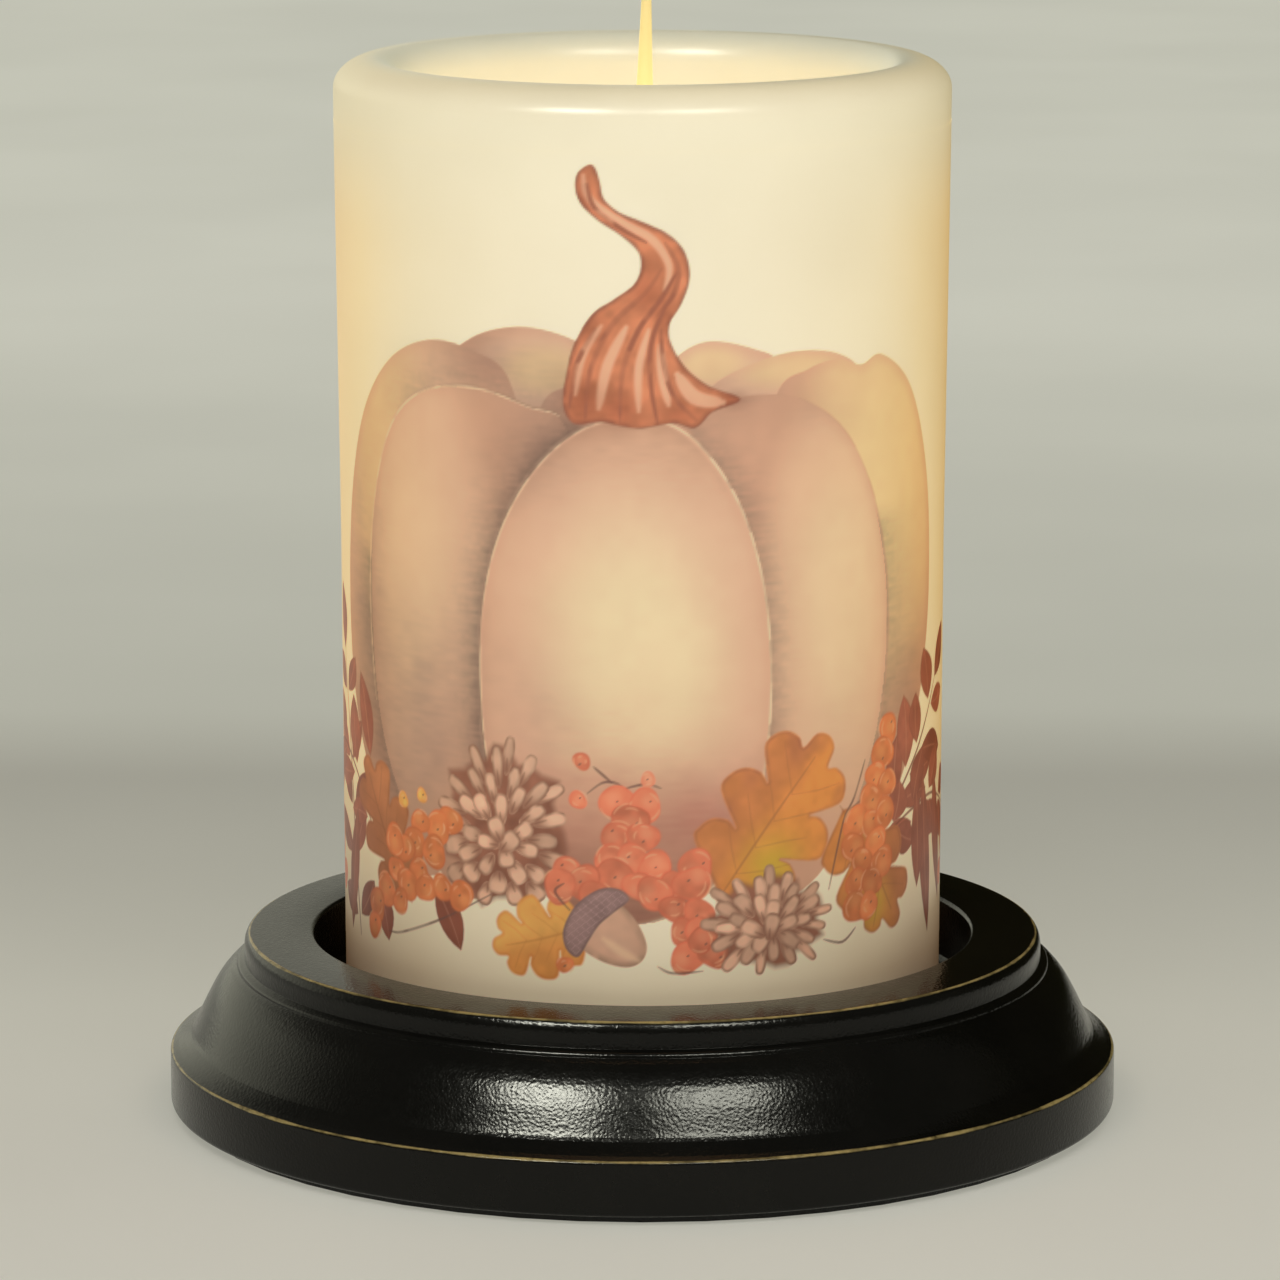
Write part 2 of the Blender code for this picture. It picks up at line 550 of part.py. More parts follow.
def cords():
    section = cord_section()
    end = SWITCH_LENGTH / 2 - 2 * MM
    hole = CORD_HOLE_HEIGHT
    points = [Vector((0, 12 * MM, hole)), Vector((0, BASE_RADIUS + 1.5 * MM, hole))]
    arc_start = coil_point(-78, LEAD_ARC_RADIUS, CORD_REST)
    points += leg(points[-1], (0, 1, -0.25), arc_start, (1, 0.21, 0), 8)
    points += [coil_point(angle, LEAD_ARC_RADIUS, CORD_REST) for angle in range(-66, 31, 12)]
    into_switch = SWITCH_CENTRE + Vector((end, 0, SWITCH_MIDDLE))
    points += leg(points[-1], (-0.5, 0.866, 0.0), into_switch, (-1, 0, 0.05), 8)
    cord("cord_base_to_switch", points, section)

    out = SWITCH_CENTRE + Vector((-end, 0, SWITCH_MIDDLE))
    first = coil_point(180, COIL_RADIUS, CORD_REST)
    points = [out] + leg(out, (-1, 0, -0.1), first, (0, -1, 0), 9)
    steps = int(COIL_TURNS * 20)
    for step in range(1, steps + 1):
        turn = COIL_TURNS * step / steps
        points.append(coil_point(180 + 360 * turn, COIL_RADIUS, CORD_REST + COIL_PITCH * turn))
    inside = Vector((16 * MM, COIL_CENTRE_Y - 27 * MM, points[-1].z))
    points += leg(points[-1], (1, 0, 0), inside, (1, 0.8, -0.1), 4)
    plug_end = Vector((PLUG_REAR_X + 5 * MM, COIL_CENTRE_Y, PLUG_HEIGHT / 2))
    points += leg(inside, (1, 0.8, -0.3), plug_end, (-1, 0, -0.1), 7)
    points.append(Vector((PLUG_REAR_X - 5 * MM, COIL_CENTRE_Y, PLUG_HEIGHT / 2)))
    cord("cord_switch_to_plug", points, section)


def cord_bushing():
    """A flanged plastic ring that lines the cord's hole in the back of the base."""
    outline = [(5.6 * MM, 1.0 * MM), (5.6 * MM, -0.2 * MM), (4.1 * MM, -0.2 * MM)]
    outline += [(4.1 * MM, -9 * MM), (3.1 * MM, -9 * MM), (3.1 * MM, 1.0 * MM)]
    bushing = turned("cord_bushing", outline, PLASTIC, 16)
    bushing.rotation_euler = (-pi / 2, 0, 0)
    bushing.location = (0, BASE_RADIUS + 0.6 * MM, CORD_HOLE_HEIGHT)


def switch_shell(name, low, high, hollow_low, hollow_high, openings):
    """Half of the switch's rounded case, between two heights, hollowed and with its openings cut."""
    up = Vector((0, 0, 1))
    half = Vector((SWITCH_LENGTH / 2, SWITCH_WIDTH / 2, 0))
    shell = rounded_box(name, SWITCH_CENTRE - half, SWITCH_CENTRE + half + up * SWITCH_HEIGHT,
                        PLASTIC, 3.0 * MM, 3)
    margin = Vector((5 * MM, 5 * MM, 0))
    keep = rounded_box(name + "_half", SWITCH_CENTRE - half - margin + up * low,
                       SWITCH_CENTRE + half + margin + up * high, collection=cutters)
    boolean(shell, keep, "INTERSECT")
    wall = Vector((SWITCH_WALL, SWITCH_WALL, 0))
    pocket = rounded_box(name + "_pocket", SWITCH_CENTRE - half + wall + up * hollow_low,
                         SWITCH_CENTRE + half - wall + up * hollow_high, collection=cutters)
    for cutter in (pocket, *openings):
        boolean(shell, cutter, "DIFFERENCE")
    return shell


def switch():
    axle = SWITCH_CENTRE + Vector((0, WHEEL_OFFSET, 0))
    up = Vector((0, 0, 1))
    slot = WHEEL_THICKNESS / 2 + 0.5 * MM
    wheel_cutter = rod("wheel_slot_cutter", axle + up * (SWITCH_MIDDLE - slot),
                       axle + up * (SWITCH_MIDDLE + slot), WHEEL_RADIUS + 0.8 * MM,
                       steps=24, collection=cutters)
    reach = Vector((SWITCH_LENGTH / 2 + 5 * MM, CORD_WIDTH / 2 + 0.5 * MM, CORD_THICKNESS / 2 + 0.5 * MM))
    middle = SWITCH_CENTRE + up * SWITCH_MIDDLE
    cord_cutter = rounded_box("switch_cord_cutter", middle - reach, middle + reach, collection=cutters)
    split, past = GAP / 2, 3 * MM
    openings = (wheel_cutter, cord_cutter)
    bottom = switch_shell("switch_bottom_shell", -past, SWITCH_MIDDLE - split,
                          SWITCH_WALL, SWITCH_MIDDLE + past, openings)
    top = switch_shell("switch_top_shell", SWITCH_MIDDLE + split, SWITCH_HEIGHT + past,
                       SWITCH_MIDDLE - past, SWITCH_HEIGHT - SWITCH_WALL, openings)
    head = SWITCH_HEIGHT - 0.9 * MM
    hole = rod("switch_screw_cutter", axle + up * (SWITCH_MIDDLE + MM), axle + up * (SWITCH_HEIGHT + MM),
               1.7 * MM, steps=12, collection=cutters)
    boolean(top, hole, "DIFFERENCE")
    sink = rod("switch_sink_cutter", axle + up * (head - 0.3 * MM), axle + up * (SWITCH_HEIGHT + MM),
               3.0 * MM, steps=16, collection=cutters)
    boolean(top, sink, "DIFFERENCE")
    post = rod("switch_post", axle + up * (SWITCH_WALL - 0.3 * MM),
               axle + up * (SWITCH_MIDDLE - WHEEL_THICKNESS / 2 - 0.4 * MM), 3.2 * MM,
               steps=12, collection=cutters)
    boolean(bottom, post, "UNION")
    blind = rod("switch_post_cutter", axle + up * (SWITCH_WALL + 0.6 * MM), axle + up * SWITCH_MIDDLE,
                1.65 * MM, steps=12, collection=cutters)
    boolean(bottom, blind, "DIFFERENCE")
    outline = [(0.0, SWITCH_HEIGHT - 0.2 * MM), (2.5 * MM, SWITCH_HEIGHT - 0.3 * MM), (2.6 * MM, head)]
    outline += [(1.3 * MM, head), (1.3 * MM, SWITCH_WALL + MM), (0.0, SWITCH_WALL + MM)]
    screw = turned("switch_screw", outline, ZINC, 12, ring=False)
    screw.location = axle
    switch_wheel(axle + up * SWITCH_MIDDLE)
    for name, side in (("switch_contact_in", 1), ("switch_contact_out", -1)):
        low = SWITCH_CENTRE + Vector((side * 15 * MM - 3.5 * MM, -4.0 * MM, SWITCH_WALL + GAP))
        strip = Vector((7.0 * MM, 8.0 * MM, 1.0 * MM))
        rounded_box(name, low, low + strip, BRASS)


def switch_wheel(centre):
    """A thumbwheel with a notched rim, centred on its axle."""
    notches = 20
    curve = bpy.data.curves.new("switch_wheel", "CURVE")
    curve.dimensions = "2D"
    curve.fill_mode = "BOTH"
    curve.extrude = WHEEL_THICKNESS / 2
    rim = curve.splines.new("POLY")
    rim.points.add(2 * notches - 1)
    for step, point in enumerate(rim.points):
        radius = WHEEL_RADIUS - (0.6 * MM if step % 2 else 0.0)
        angle = pi * step / notches
        point.co = (radius * cos(angle), radius * sin(angle), 0.0, 1.0)
    rim.use_cyclic_u = True
    bore = curve.splines.new("POLY")
    bore.points.add(11)
    for point, place in zip(bore.points, arc((0, 0), 1.75 * MM, 0, 330, 12)):
        point.co = (*place, 0.0, 1.0)
    bore.use_cyclic_u = True
    wheel = add("switch_wheel", curve, PLASTIC)
    wheel.location = centre
    finished_mesh(wheel)


def plug():
    front = PLUG_REAR_X - PLUG_LENGTH
    half = PLUG_WIDTH / 2
    middle = PLUG_HEIGHT / 2
    body = rounded_box("plug_body", (front, COIL_CENTRE_Y - half, 0.0),
                       (PLUG_REAR_X, COIL_CENTRE_Y + half, PLUG_HEIGHT), PLASTIC, 2.5 * MM, 3)
    nose_end = PLUG_REAR_X + 5.5 * MM
    nose = rod("plug_nose", (PLUG_REAR_X - 3 * MM, COIL_CENTRE_Y, middle), (nose_end, COIL_CENTRE_Y, middle),
               5.4 * MM, steps=12, collection=cutters, end_radius=4.2 * MM)
    boolean(body, nose, "UNION")
    room = Vector((6.5 * MM, CORD_WIDTH / 2 + 0.4 * MM, CORD_THICKNESS / 2 + 0.4 * MM))
    centre = Vector((PLUG_REAR_X + MM, COIL_CENTRE_Y, middle))
    channel = rounded_box("plug_cord_cutter", centre - room, centre + room, collection=cutters)
    boolean(body, channel, "DIFFERENCE")
    for name, side, width in (("line", -1, 6.4 * MM), ("neutral", 1, 7.9 * MM)):
        blade = Vector((0, COIL_CENTRE_Y + side * BLADE_SPACING / 2, middle))
        reach = Vector((0, BLADE_THICKNESS / 2, width / 2))
        low = blade - reach + Vector((front - BLADE_LENGTH, 0, 0))
        high = blade + reach + Vector((front + BLADE_ROOT, 0, 0))
        rounded_box("plug_blade_" + name, low, high, NICKEL, 0.5 * MM, 1)
        margin = Vector((GAP, GAP, GAP))
        slot = rounded_box(name + "_blade_cutter", low - margin, high + margin, collection=cutters)
        boolean(body, slot, "DIFFERENCE")


wood_base()
felt_pad()
wax_sleeve()
riser()
socket_bracket()
lamp_socket()
bulb()
leads()
cords()
cord_bushing()
switch()
plug()
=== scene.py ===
"""Looks of the electric candle lamp: a glowing printed wax sleeve over a flame bulb, on a turned black base.

Metres, +Z up, in the CAD part's frame: the picture faces -Y, the cord leaves the base at +Y.
"""

from math import atan2, cos, pi, radians, sin

import bmesh
import bpy
import numpy as np
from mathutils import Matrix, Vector


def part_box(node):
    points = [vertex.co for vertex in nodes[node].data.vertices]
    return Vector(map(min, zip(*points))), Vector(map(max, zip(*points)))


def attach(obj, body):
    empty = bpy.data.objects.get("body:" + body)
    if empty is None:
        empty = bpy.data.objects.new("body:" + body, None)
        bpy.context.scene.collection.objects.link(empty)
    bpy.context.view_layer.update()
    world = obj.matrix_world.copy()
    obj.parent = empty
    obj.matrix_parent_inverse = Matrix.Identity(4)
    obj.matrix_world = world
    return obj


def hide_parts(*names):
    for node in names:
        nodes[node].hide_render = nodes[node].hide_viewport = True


MM = 0.001

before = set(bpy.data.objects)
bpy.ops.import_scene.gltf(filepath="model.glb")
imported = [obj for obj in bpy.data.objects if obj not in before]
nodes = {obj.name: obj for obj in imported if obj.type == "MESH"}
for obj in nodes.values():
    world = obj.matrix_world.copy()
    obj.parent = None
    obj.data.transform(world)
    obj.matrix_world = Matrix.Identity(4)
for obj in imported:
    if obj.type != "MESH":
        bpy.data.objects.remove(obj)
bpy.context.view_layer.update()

# Sleeve
SLEEVE_BOTTOM = 20.0 * MM
SLEEVE_TOP = 180.0 * MM
SLEEVE_RADIUS = 50.8 * MM
SLEEVE_FLARE = 1.0 * MM
SLEEVE_BORE = 40.8 * MM
CREST_RADIUS = 45.2 * MM     # where the rim is highest
SHOULDER_DROP = 5.0 * MM     # from the crest to the outer wall
LIP_DROP = 5.4 * MM          # from the crest to the bore
WALL_FLARE = 0.2 * MM        # part of the flare that is below the middle
COVER_WALL = 1.0 * MM

# Flame
LEAN_START = 125 * MM
LEAN_HEIGHT = 80 * MM
LEAN = 1.0 * MM

# Printed picture: distances round the sleeve in mm, heights in drawing units
PRINT_LIFT = 0.03 * MM       # between the wax and the printed sheets
PRINT_UNIT = 0.987           # mm on the sleeve for one unit of the drawing's height
PRINT_LOW, PRINT_SPLIT, PRINT_HIGH = 31.0, 74.0, 172.0    # foot, join of the two sheets, top
GARLAND_REACH, GOURD_REACH = 108, 84                      # how far each sheet goes round to either side
FINE_GRID, BROAD_GRID = 0.22, 0.30
GOLDEN_ANGLE = pi * (3 - 5 ** 0.5)

# Base
RECESS_RADIUS = 56.2 * MM
RECESS_FLOOR = 19.7 * MM
BASE_RADIUS = 81.0 * MM
BASE_TOP = 30.6 * MM
BASE_BOTTOM = 1.5 * MM
POCKET_RADIUS = 20.0 * MM
POCKET_TOP = 11.0 * MM
NIPPLE_HOLE = 5.3 * MM
RING_ARRIS = (67.4 * MM, 30.55 * MM)
BAND_ARRIS = (80.75 * MM, 10.7 * MM)

# Camera and lights
CAMERA_PLACE = (0.0, -1.117, 0.29387)
CAMERA_PITCH = 10.812
CAMERA_LENS = 187.96
CAMERA_SHIFT = -0.0019


# ---------------------------------------------------------------- meshes

def scene_object(name, data):
    made = bpy.data.objects.new(name, data)
    bpy.context.scene.collection.objects.link(made)
    return made


def mesh_object(name, points, faces):
    mesh = bpy.data.meshes.new(name)
    mesh.from_pydata([tuple(point) for point in points], [], faces)
    mesh.shade_smooth()
    return scene_object(name, mesh)


def lathe(name, outline, steps=128, closed=True):
    """A turned shape from (radius, height) points that run down its outer side."""
    rows = len(outline)
    angles = 2 * pi * np.arange(steps) / steps
    radius = np.array([point[0] for point in outline])[:, None]
    height = np.array([point[1] for point in outline])[:, None]
    grid = np.stack([
        radius * np.cos(angles), radius * np.sin(angles), np.broadcast_to(height, (rows, steps)),
    ], axis=-1)
    faces = []
    for row in range(rows if closed else rows - 1):
        below = (row + 1) % rows
        for step in range(steps):
            right = (step + 1) % steps
            faces.append((row * steps + step, below * steps + step, below * steps + right,
                          row * steps + right))
    made = mesh_object(name, grid.reshape(-1, 3), faces)
    tidy = bmesh.new()
    tidy.from_mesh(made.data)
    bmesh.ops.remove_doubles(tidy, verts=tidy.verts, dist=1e-7)
    bmesh.ops.recalc_face_normals(tidy, faces=tidy.faces)
    tidy.to_mesh(made.data)
    tidy.free()
    return made


def arc(centre, across, up, start, end, count):
    """(radius, height) points on part of an ellipse, between two angles in degrees."""
    turn = np.radians(np.linspace(start, end, count))
    return [(centre[0] + across * cos(angle), centre[1] + up * sin(angle)) for angle in turn]


def rounded(outline, reach, crease, count=4):
    """The same clockwise outline with its corners curved: from reach away, or from crease where hollow."""
    result = []
    total = len(outline)
    for index, corner in enumerate(outline):
        before, after = Vector(outline[index - 1]), Vector(outline[(index + 1) % total])
        corner = Vector(corner)
        back, ahead = before - corner, after - corner
        near = reach if back.cross(ahead) > 0 else crease
        first = corner + back.normalized() * min(near, back.length * 0.45)
        last = corner + ahead.normalized() * min(near, ahead.length * 0.45)
        for step in range(count):
            t = step / (count - 1)
            result.append(tuple(first * (1 - t) ** 2 + corner * 2 * t * (1 - t) + last * t**2))
    return result


# ---------------------------------------------------------------- materials

class Shader:
    """Builds one node material, a node at a time."""

    def __init__(self, name, tree=None):
        if tree is None:
            self.material = bpy.data.materials.new(name)
            self.material.use_nodes = True
            tree = self.material.node_tree
        self.tree = tree
        self.tree.nodes.clear()

    def put(self, socket, value):
        """Links or sets an input; a colour may leave out its alpha."""
        if isinstance(value, bpy.types.NodeSocket):
            self.tree.links.new(value, socket)
        elif isinstance(value, tuple) and len(value) < len(socket.default_value):
            socket.default_value = (*value, 1.0)
        elif value is not None:
            socket.default_value = value

    def node(self, kind, inputs=None, **settings):
        made = self.tree.nodes.new("ShaderNode" + kind)
        for key, value in settings.items():
            setattr(made, key, value)
        for key, value in (inputs or {}).items():
            self.put(made.inputs[key], value)
        return made

    def math(self, operation, *values):
        return self.node("Math", dict(enumerate(values)), operation=operation).outputs[0]

    def mix(self, factor, first, second, blend="MIX"):
        """Mixes two colours, which are inputs 6 and 7 of the node."""
        made = self.node("Mix", {0: factor, 6: first, 7: second}, data_type="RGBA", blend_type=blend)
        return made.outputs[2]

    def ramp(self, factor, stops, interpolation="LINEAR"):
        """A colour ramp from (position, colour or grey) stops."""
        made = self.node("ValToRGB", {"Fac": factor})
        band = made.color_ramp
        band.interpolation = interpolation
        while len(band.elements) < len(stops):
            band.elements.new(0.5)
        for element, (position, colour) in zip(band.elements, stops):
            element.position = position
            element.color = (*colour, 1.0) if isinstance(colour, tuple) else (colour, colour, colour, 1.0)
        return made.outputs["Color"]

    def spread(self, value, low, high, new_low=0.0, new_high=1.0, smooth=True):
        """Maps low..high to new_low..new_high, held at the ends."""
        made = self.node("MapRange", {
            "Value": value, "From Min": low, "From Max": high, "To Min": new_low, "To Max": new_high,
        })
        made.interpolation_type = "SMOOTHSTEP" if smooth else "LINEAR"
        return made.outputs["Result"]

    def noise(self, vector, scale, detail=2.0, roughness=0.5):
        made = self.node("TexNoise", {
            "Vector": vector, "Scale": scale, "Detail": detail, "Roughness": roughness,
        })
        return made.outputs["Fac"]

    def place(self):
        return self.node("TexCoord").outputs["Object"]

    def stretched(self, vector, scale):
        return self.node("Mapping", {"Vector": vector, "Scale": scale}).outputs["Vector"]

    def around_axis(self, vector):
        """(radius, height) of a point about the lamp's axis."""
        parts = self.node("SeparateXYZ", {"Vector": vector})
        x, y = parts.outputs["X"], parts.outputs["Y"]
        square = self.math("ADD", self.math("MULTIPLY", x, x), self.math("MULTIPLY", y, y))
        return self.math("SQRT", square), parts.outputs["Z"]

    def bump(self, height, distance, strength=1.0, normal=None):
        return self.node("Bump", {
            "Height": height, "Distance": distance, "Strength": strength, "Normal": normal,
        }).outputs["Normal"]

    def finish(self, **inputs):
        """Ends the material with a Principled shader."""
        named = {key.replace("_", " "): value for key, value in inputs.items()}
        self.node("OutputMaterial", {"Surface": self.node("BsdfPrincipled", named).outputs[0]})
        return self.material


def wax():
    """Ivory wax that glows from the bulb inside it; a mesh's ink attribute darkens its light and its glow."""
    s = Shader("wax")
    place = s.place()
    radius, height = s.around_axis(place)
    facing = s.node("LayerWeight", {"Blend": 0.5}).outputs["Facing"]
    rise = s.spread(height, 0.0, 0.2, smooth=False)
    glow = s.ramp(rise, (
        (0.10, (0.07, 0.042, 0.016)), (0.165, (0.25, 0.19, 0.105)), (0.25, (0.31, 0.25, 0.15)),
        (0.35, (0.39, 0.33, 0.21)), (0.50, (0.42, 0.36, 0.235)), (0.76, (0.41, 0.355, 0.235)),
        (0.87, (0.41, 0.365, 0.24)), (0.90, (0.40, 0.345, 0.215)),
    ))
    side_light = s.ramp(facing, (
        (0.0, (1.0, 1.0, 1.0)), (0.35, (1.03, 0.94, 0.74)), (0.6, (1.05, 0.82, 0.40)),
        (0.95, (0.98, 0.61, 0.10))))
    low_side_light = s.ramp(facing, (
        (0.0, (1.0, 1.0, 1.0)), (0.35, (0.55, 0.42, 0.25)), (0.6, (0.34, 0.18, 0.03)),
        (0.95, (0.30, 0.15, 0.02))))
    rim_side_light = s.ramp(facing, (
        (0.0, (1.0, 1.0, 1.0)), (0.35, (0.97, 0.95, 0.88)), (0.6, (0.88, 0.84, 0.72)),
        (0.95, (0.74, 0.68, 0.50))))
    side_light = s.mix(s.spread(height, 70 * MM, 30 * MM), side_light, low_side_light)
    side_light = s.mix(s.spread(height, 150 * MM, 178 * MM), side_light, rim_side_light)
    glow = s.mix(1.0, glow, side_light, "MULTIPLY")
    within = s.spread(radius, 49.0 * MM, 42.0 * MM)
    inner = s.ramp(rise, (
        (0.10, (0.26, 0.21, 0.11)), (0.50, (0.42, 0.36, 0.23)), (0.80, (0.28, 0.28, 0.205)),
        (0.86, (0.21, 0.23, 0.18)), (0.90, (0.20, 0.22, 0.17)),
    ))
    glow = s.mix(within, glow, inner)
    cloud = s.noise(place, 38.0, 3.0, 0.55)
    glow = s.mix(1.0, glow, s.ramp(cloud, ((0.3, 0.955), (0.7, 1.045))), "MULTIPLY")
    ink = s.node("Attribute", attribute_name="ink").outputs["Color"]
    let_through = s.mix(1.0, (1.0, 1.0, 1.0), ink, "SUBTRACT")
    colour = s.mix(1.0, s.mix(s.spread(cloud, 0.3, 0.7), (0.88, 0.82, 0.68), (0.91, 0.85, 0.71)),
                   let_through, "MULTIPLY")
    glow = s.mix(1.0, glow, let_through, "MULTIPLY")
    fine = s.noise(place, 900.0, 2.0)
    broad = s.noise(place, 90.0, 2.0)
    normal = s.bump(fine, 0.03 * MM, 0.25, s.bump(broad, 0.25 * MM, 0.35))
    return s.finish(Base_Color=colour, Roughness=0.3, Specular_IOR_Level=0.26, Emission_Color=glow,
                    Emission_Strength=1.0, Normal=normal)


def worn_black_paint():
    """Satin black paint over wood, rubbed through to gold on the arrises."""
    s = Shader("worn_black_paint")
    place = s.place()
    radius, height = s.around_axis(place)
    wander = s.noise(place, 60.0, 4.0, 0.65)
    grit = s.noise(place, 700.0, 3.0, 0.7)
    patches = s.noise(place, 130.0, 3.0, 0.7)
    worn = None
    edges = ((RING_ARRIS, 0.40, 1.0), (BAND_ARRIS, 0.37, 1.0))
    for (edge_radius, edge_height), width, amount in edges:
        across = s.math("SUBTRACT", radius, edge_radius)
        up = s.math("SUBTRACT", height, edge_height)
        far = s.math("SQRT", s.math("ADD", s.math("MULTIPLY", across, across), s.math("MULTIPLY", up, up)))
        far = s.math("ADD", far, s.spread(wander, 0.3, 0.7, -0.12 * MM, 0.15 * MM, smooth=False))
        near = s.spread(far, width * MM, width * 0.25 * MM, 0.0, amount)
        worn = near if worn is None else s.math("MAXIMUM", worn, near)
    broken = s.math("MULTIPLY", s.spread(grit, 0.2, 0.45, 0.4, 1.0), s.spread(patches, 0.36, 0.56, 0.35, 1.0))
    worn = s.math("MULTIPLY", worn, broken)
    black = s.mix(s.spread(wander, 0.35, 0.7), (0.0050, 0.0050, 0.0040), (0.0072, 0.0070, 0.0056))
    gold = s.mix(grit, (0.42, 0.31, 0.10), (0.72, 0.58, 0.26))
    colour = s.mix(worn, black, gold)
    grains = s.node("TexVoronoi", {"Vector": place, "Scale": 2000.0}, feature="SMOOTH_F1").outputs["Distance"]
    peel = s.noise(place, 2600.0, 2.0, 0.6)
    normal = s.bump(grains, 0.035 * MM, 1.0, s.bump(peel, 0.03 * MM, 0.6))
    roughness = s.spread(grit, 0.3, 0.7, 0.15, 0.21)
    return s.finish(Base_Color=colour, Roughness=roughness, Specular_IOR_Level=0.2, Normal=normal)


def glowing_silicone():
    """Amber rubber that is lit by the bulb under it, paler towards its thin point."""
    s = Shader("glowing_silicone")
    place = s.place()
    height = s.around_axis(place)[1]
    rise = s.spread(height, 83 * MM, 205 * MM, smooth=False)
    glow = s.ramp(rise, (
        (0.0, (0.55, 0.22, 0.03)), (0.15, (1.6, 0.95, 0.30)), (0.4, (1.5, 0.95, 0.34)),
        (0.78, (0.66, 0.52, 0.20)), (0.86, (0.55, 0.44, 0.18)), (1.0, (0.34, 0.31, 0.13)),
    ))
    soft = s.noise(place, 400.0, 2.0)
    colour = s.mix(soft, (0.62, 0.50, 0.22), (0.70, 0.58, 0.28))
    normal = s.bump(soft, 0.05 * MM, 0.3)
    return s.finish(Base_Color=colour, Roughness=0.34, Emission_Color=glow, Emission_Strength=1.0,
                    Normal=normal)


def metal(name, colour, roughness, grain=900.0):
    """Plated or bare metal with patches of tarnish."""
    s = Shader(name)
    place = s.place()
    tarnish = s.noise(place, 260.0, 3.0, 0.6)
    dark = tuple(channel * 0.72 for channel in colour)
    shade = s.mix(s.spread(tarnish, 0.35, 0.7), colour, dark)
    rough = s.spread(tarnish, 0.3, 0.7, roughness * 0.85, roughness * 1.3)
    normal = s.bump(s.noise(place, grain, 2.0), 0.03 * MM, 0.3)
    return s.finish(Base_Color=shade, Metallic=1.0, Roughness=rough, Normal=normal)


def moulded(name, colour, roughness, grain=1400.0):
    """Moulded plastic, vinyl or vitrite with slight clouds and a fine grain."""
    s = Shader(name)
    place = s.place()
    cloud = s.noise(place, 120.0, 3.0)
    light = tuple(channel * 1.5 + 0.002 for channel in colour)
    shade = s.mix(s.spread(cloud, 0.3, 0.7), colour, light)
    rough = s.spread(cloud, 0.3, 0.7, roughness * 0.9, roughness * 1.12)
    normal = s.bump(s.noise(place, grain, 2.0), 0.04 * MM, 0.35)
    return s.finish(Base_Color=shade, Roughness=rough, Normal=normal)


def felt():
    s = Shader("felt")
    place = s.place()
    fibres = s.noise(place, 2200.0, 4.0, 0.7)
    patches = s.noise(place, 180.0, 2.0)
    shade = s.mix(fibres, (0.008, 0.008, 0.008), (0.045, 0.045, 0.043))
    shade = s.mix(s.spread(patches, 0.3, 0.7, 0.0, 0.35), shade, (0.012, 0.012, 0.012))
    normal = s.bump(fibres, 0.25 * MM, 0.9)
    return s.finish(Base_Color=shade, Roughness=0.95, Sheen_Weight=0.3, Normal=normal)


def fibre_tube():
    """The ivory card tube round the socket; its glow is painted light from the bulb, dim at the foot and
    brighter towards its top.
    """
    s = Shader("fibre_tube")
    place = s.place()
    fibres = s.noise(s.stretched(place, (1.0, 1.0, 0.2)), 700.0, 4.0, 0.65)
    height = s.around_axis(place)[1]
    shade = s.mix(fibres, (0.66, 0.57, 0.40), (0.78, 0.70, 0.53))
    # Painted light: the bulb's light on the tube, painted as glow that rises with height.
    lit = s.ramp(s.spread(height, 20 * MM, 84 * MM, smooth=False), (
        (0.0, (0.02, 0.014, 0.006)), (0.7, (0.16, 0.11, 0.05)), (1.0, (0.50, 0.36, 0.16))))
    normal = s.bump(fibres, 0.08 * MM, 0.4)
    return s.finish(Base_Color=shade, Roughness=0.72, Emission_Color=lit, Emission_Strength=1.0,
                    Normal=normal)


def clear_glass():
    s = Shader("clear_glass")
    place = s.place()
    haze = s.noise(place, 300.0, 2.0)
    rough = s.spread(haze, 0.3, 0.7, 0.02, 0.07)
    tint = s.mix(haze, (0.97, 0.94, 0.88), (1.0, 0.98, 0.94))
    return s.finish(Base_Color=tint, Roughness=rough, Transmission_Weight=0.9, IOR=1.47)


def glowing_filament():
    s = Shader("glowing_filament")
    place = s.place()
    hot = s.noise(place, 800.0, 2.0)
    light = s.ramp(hot, ((0.3, (1.0, 0.55, 0.18)), (0.7, (1.0, 0.68, 0.30))))
    return s.finish(Base_Color=(0.3, 0.28, 0.26), Metallic=1.0, Roughness=0.4, Emission_Color=light,
                    Emission_Strength=14.0)


WAX = wax()
PAINT = worn_black_paint()
SILICONE = glowing_silicone()
STEEL = metal("zinc_plated_steel", (0.60, 0.60, 0.57), 0.36)
BRASS = metal("polished_brass", (0.74, 0.53, 0.24), 0.32)
NICKEL = metal("nickel_plate", (0.68, 0.65, 0.60), 0.26)
PHENOLIC = moulded("black_phenolic", (0.016, 0.014, 0.013), 0.42)
PLASTIC = moulded("dark_brown_plastic", (0.040, 0.024, 0.016), 0.40)
VINYL = moulded("cord_vinyl_brown", (0.046, 0.028, 0.018), 0.38)
BLACK_GLASS = moulded("black_vitrite", (0.008, 0.008, 0.010), 0.14)
INSULATION = moulded("wire_insulation_black", (0.022, 0.021, 0.020), 0.48)
GLASS = clear_glass()
CARD_TUBE = fibre_tube()

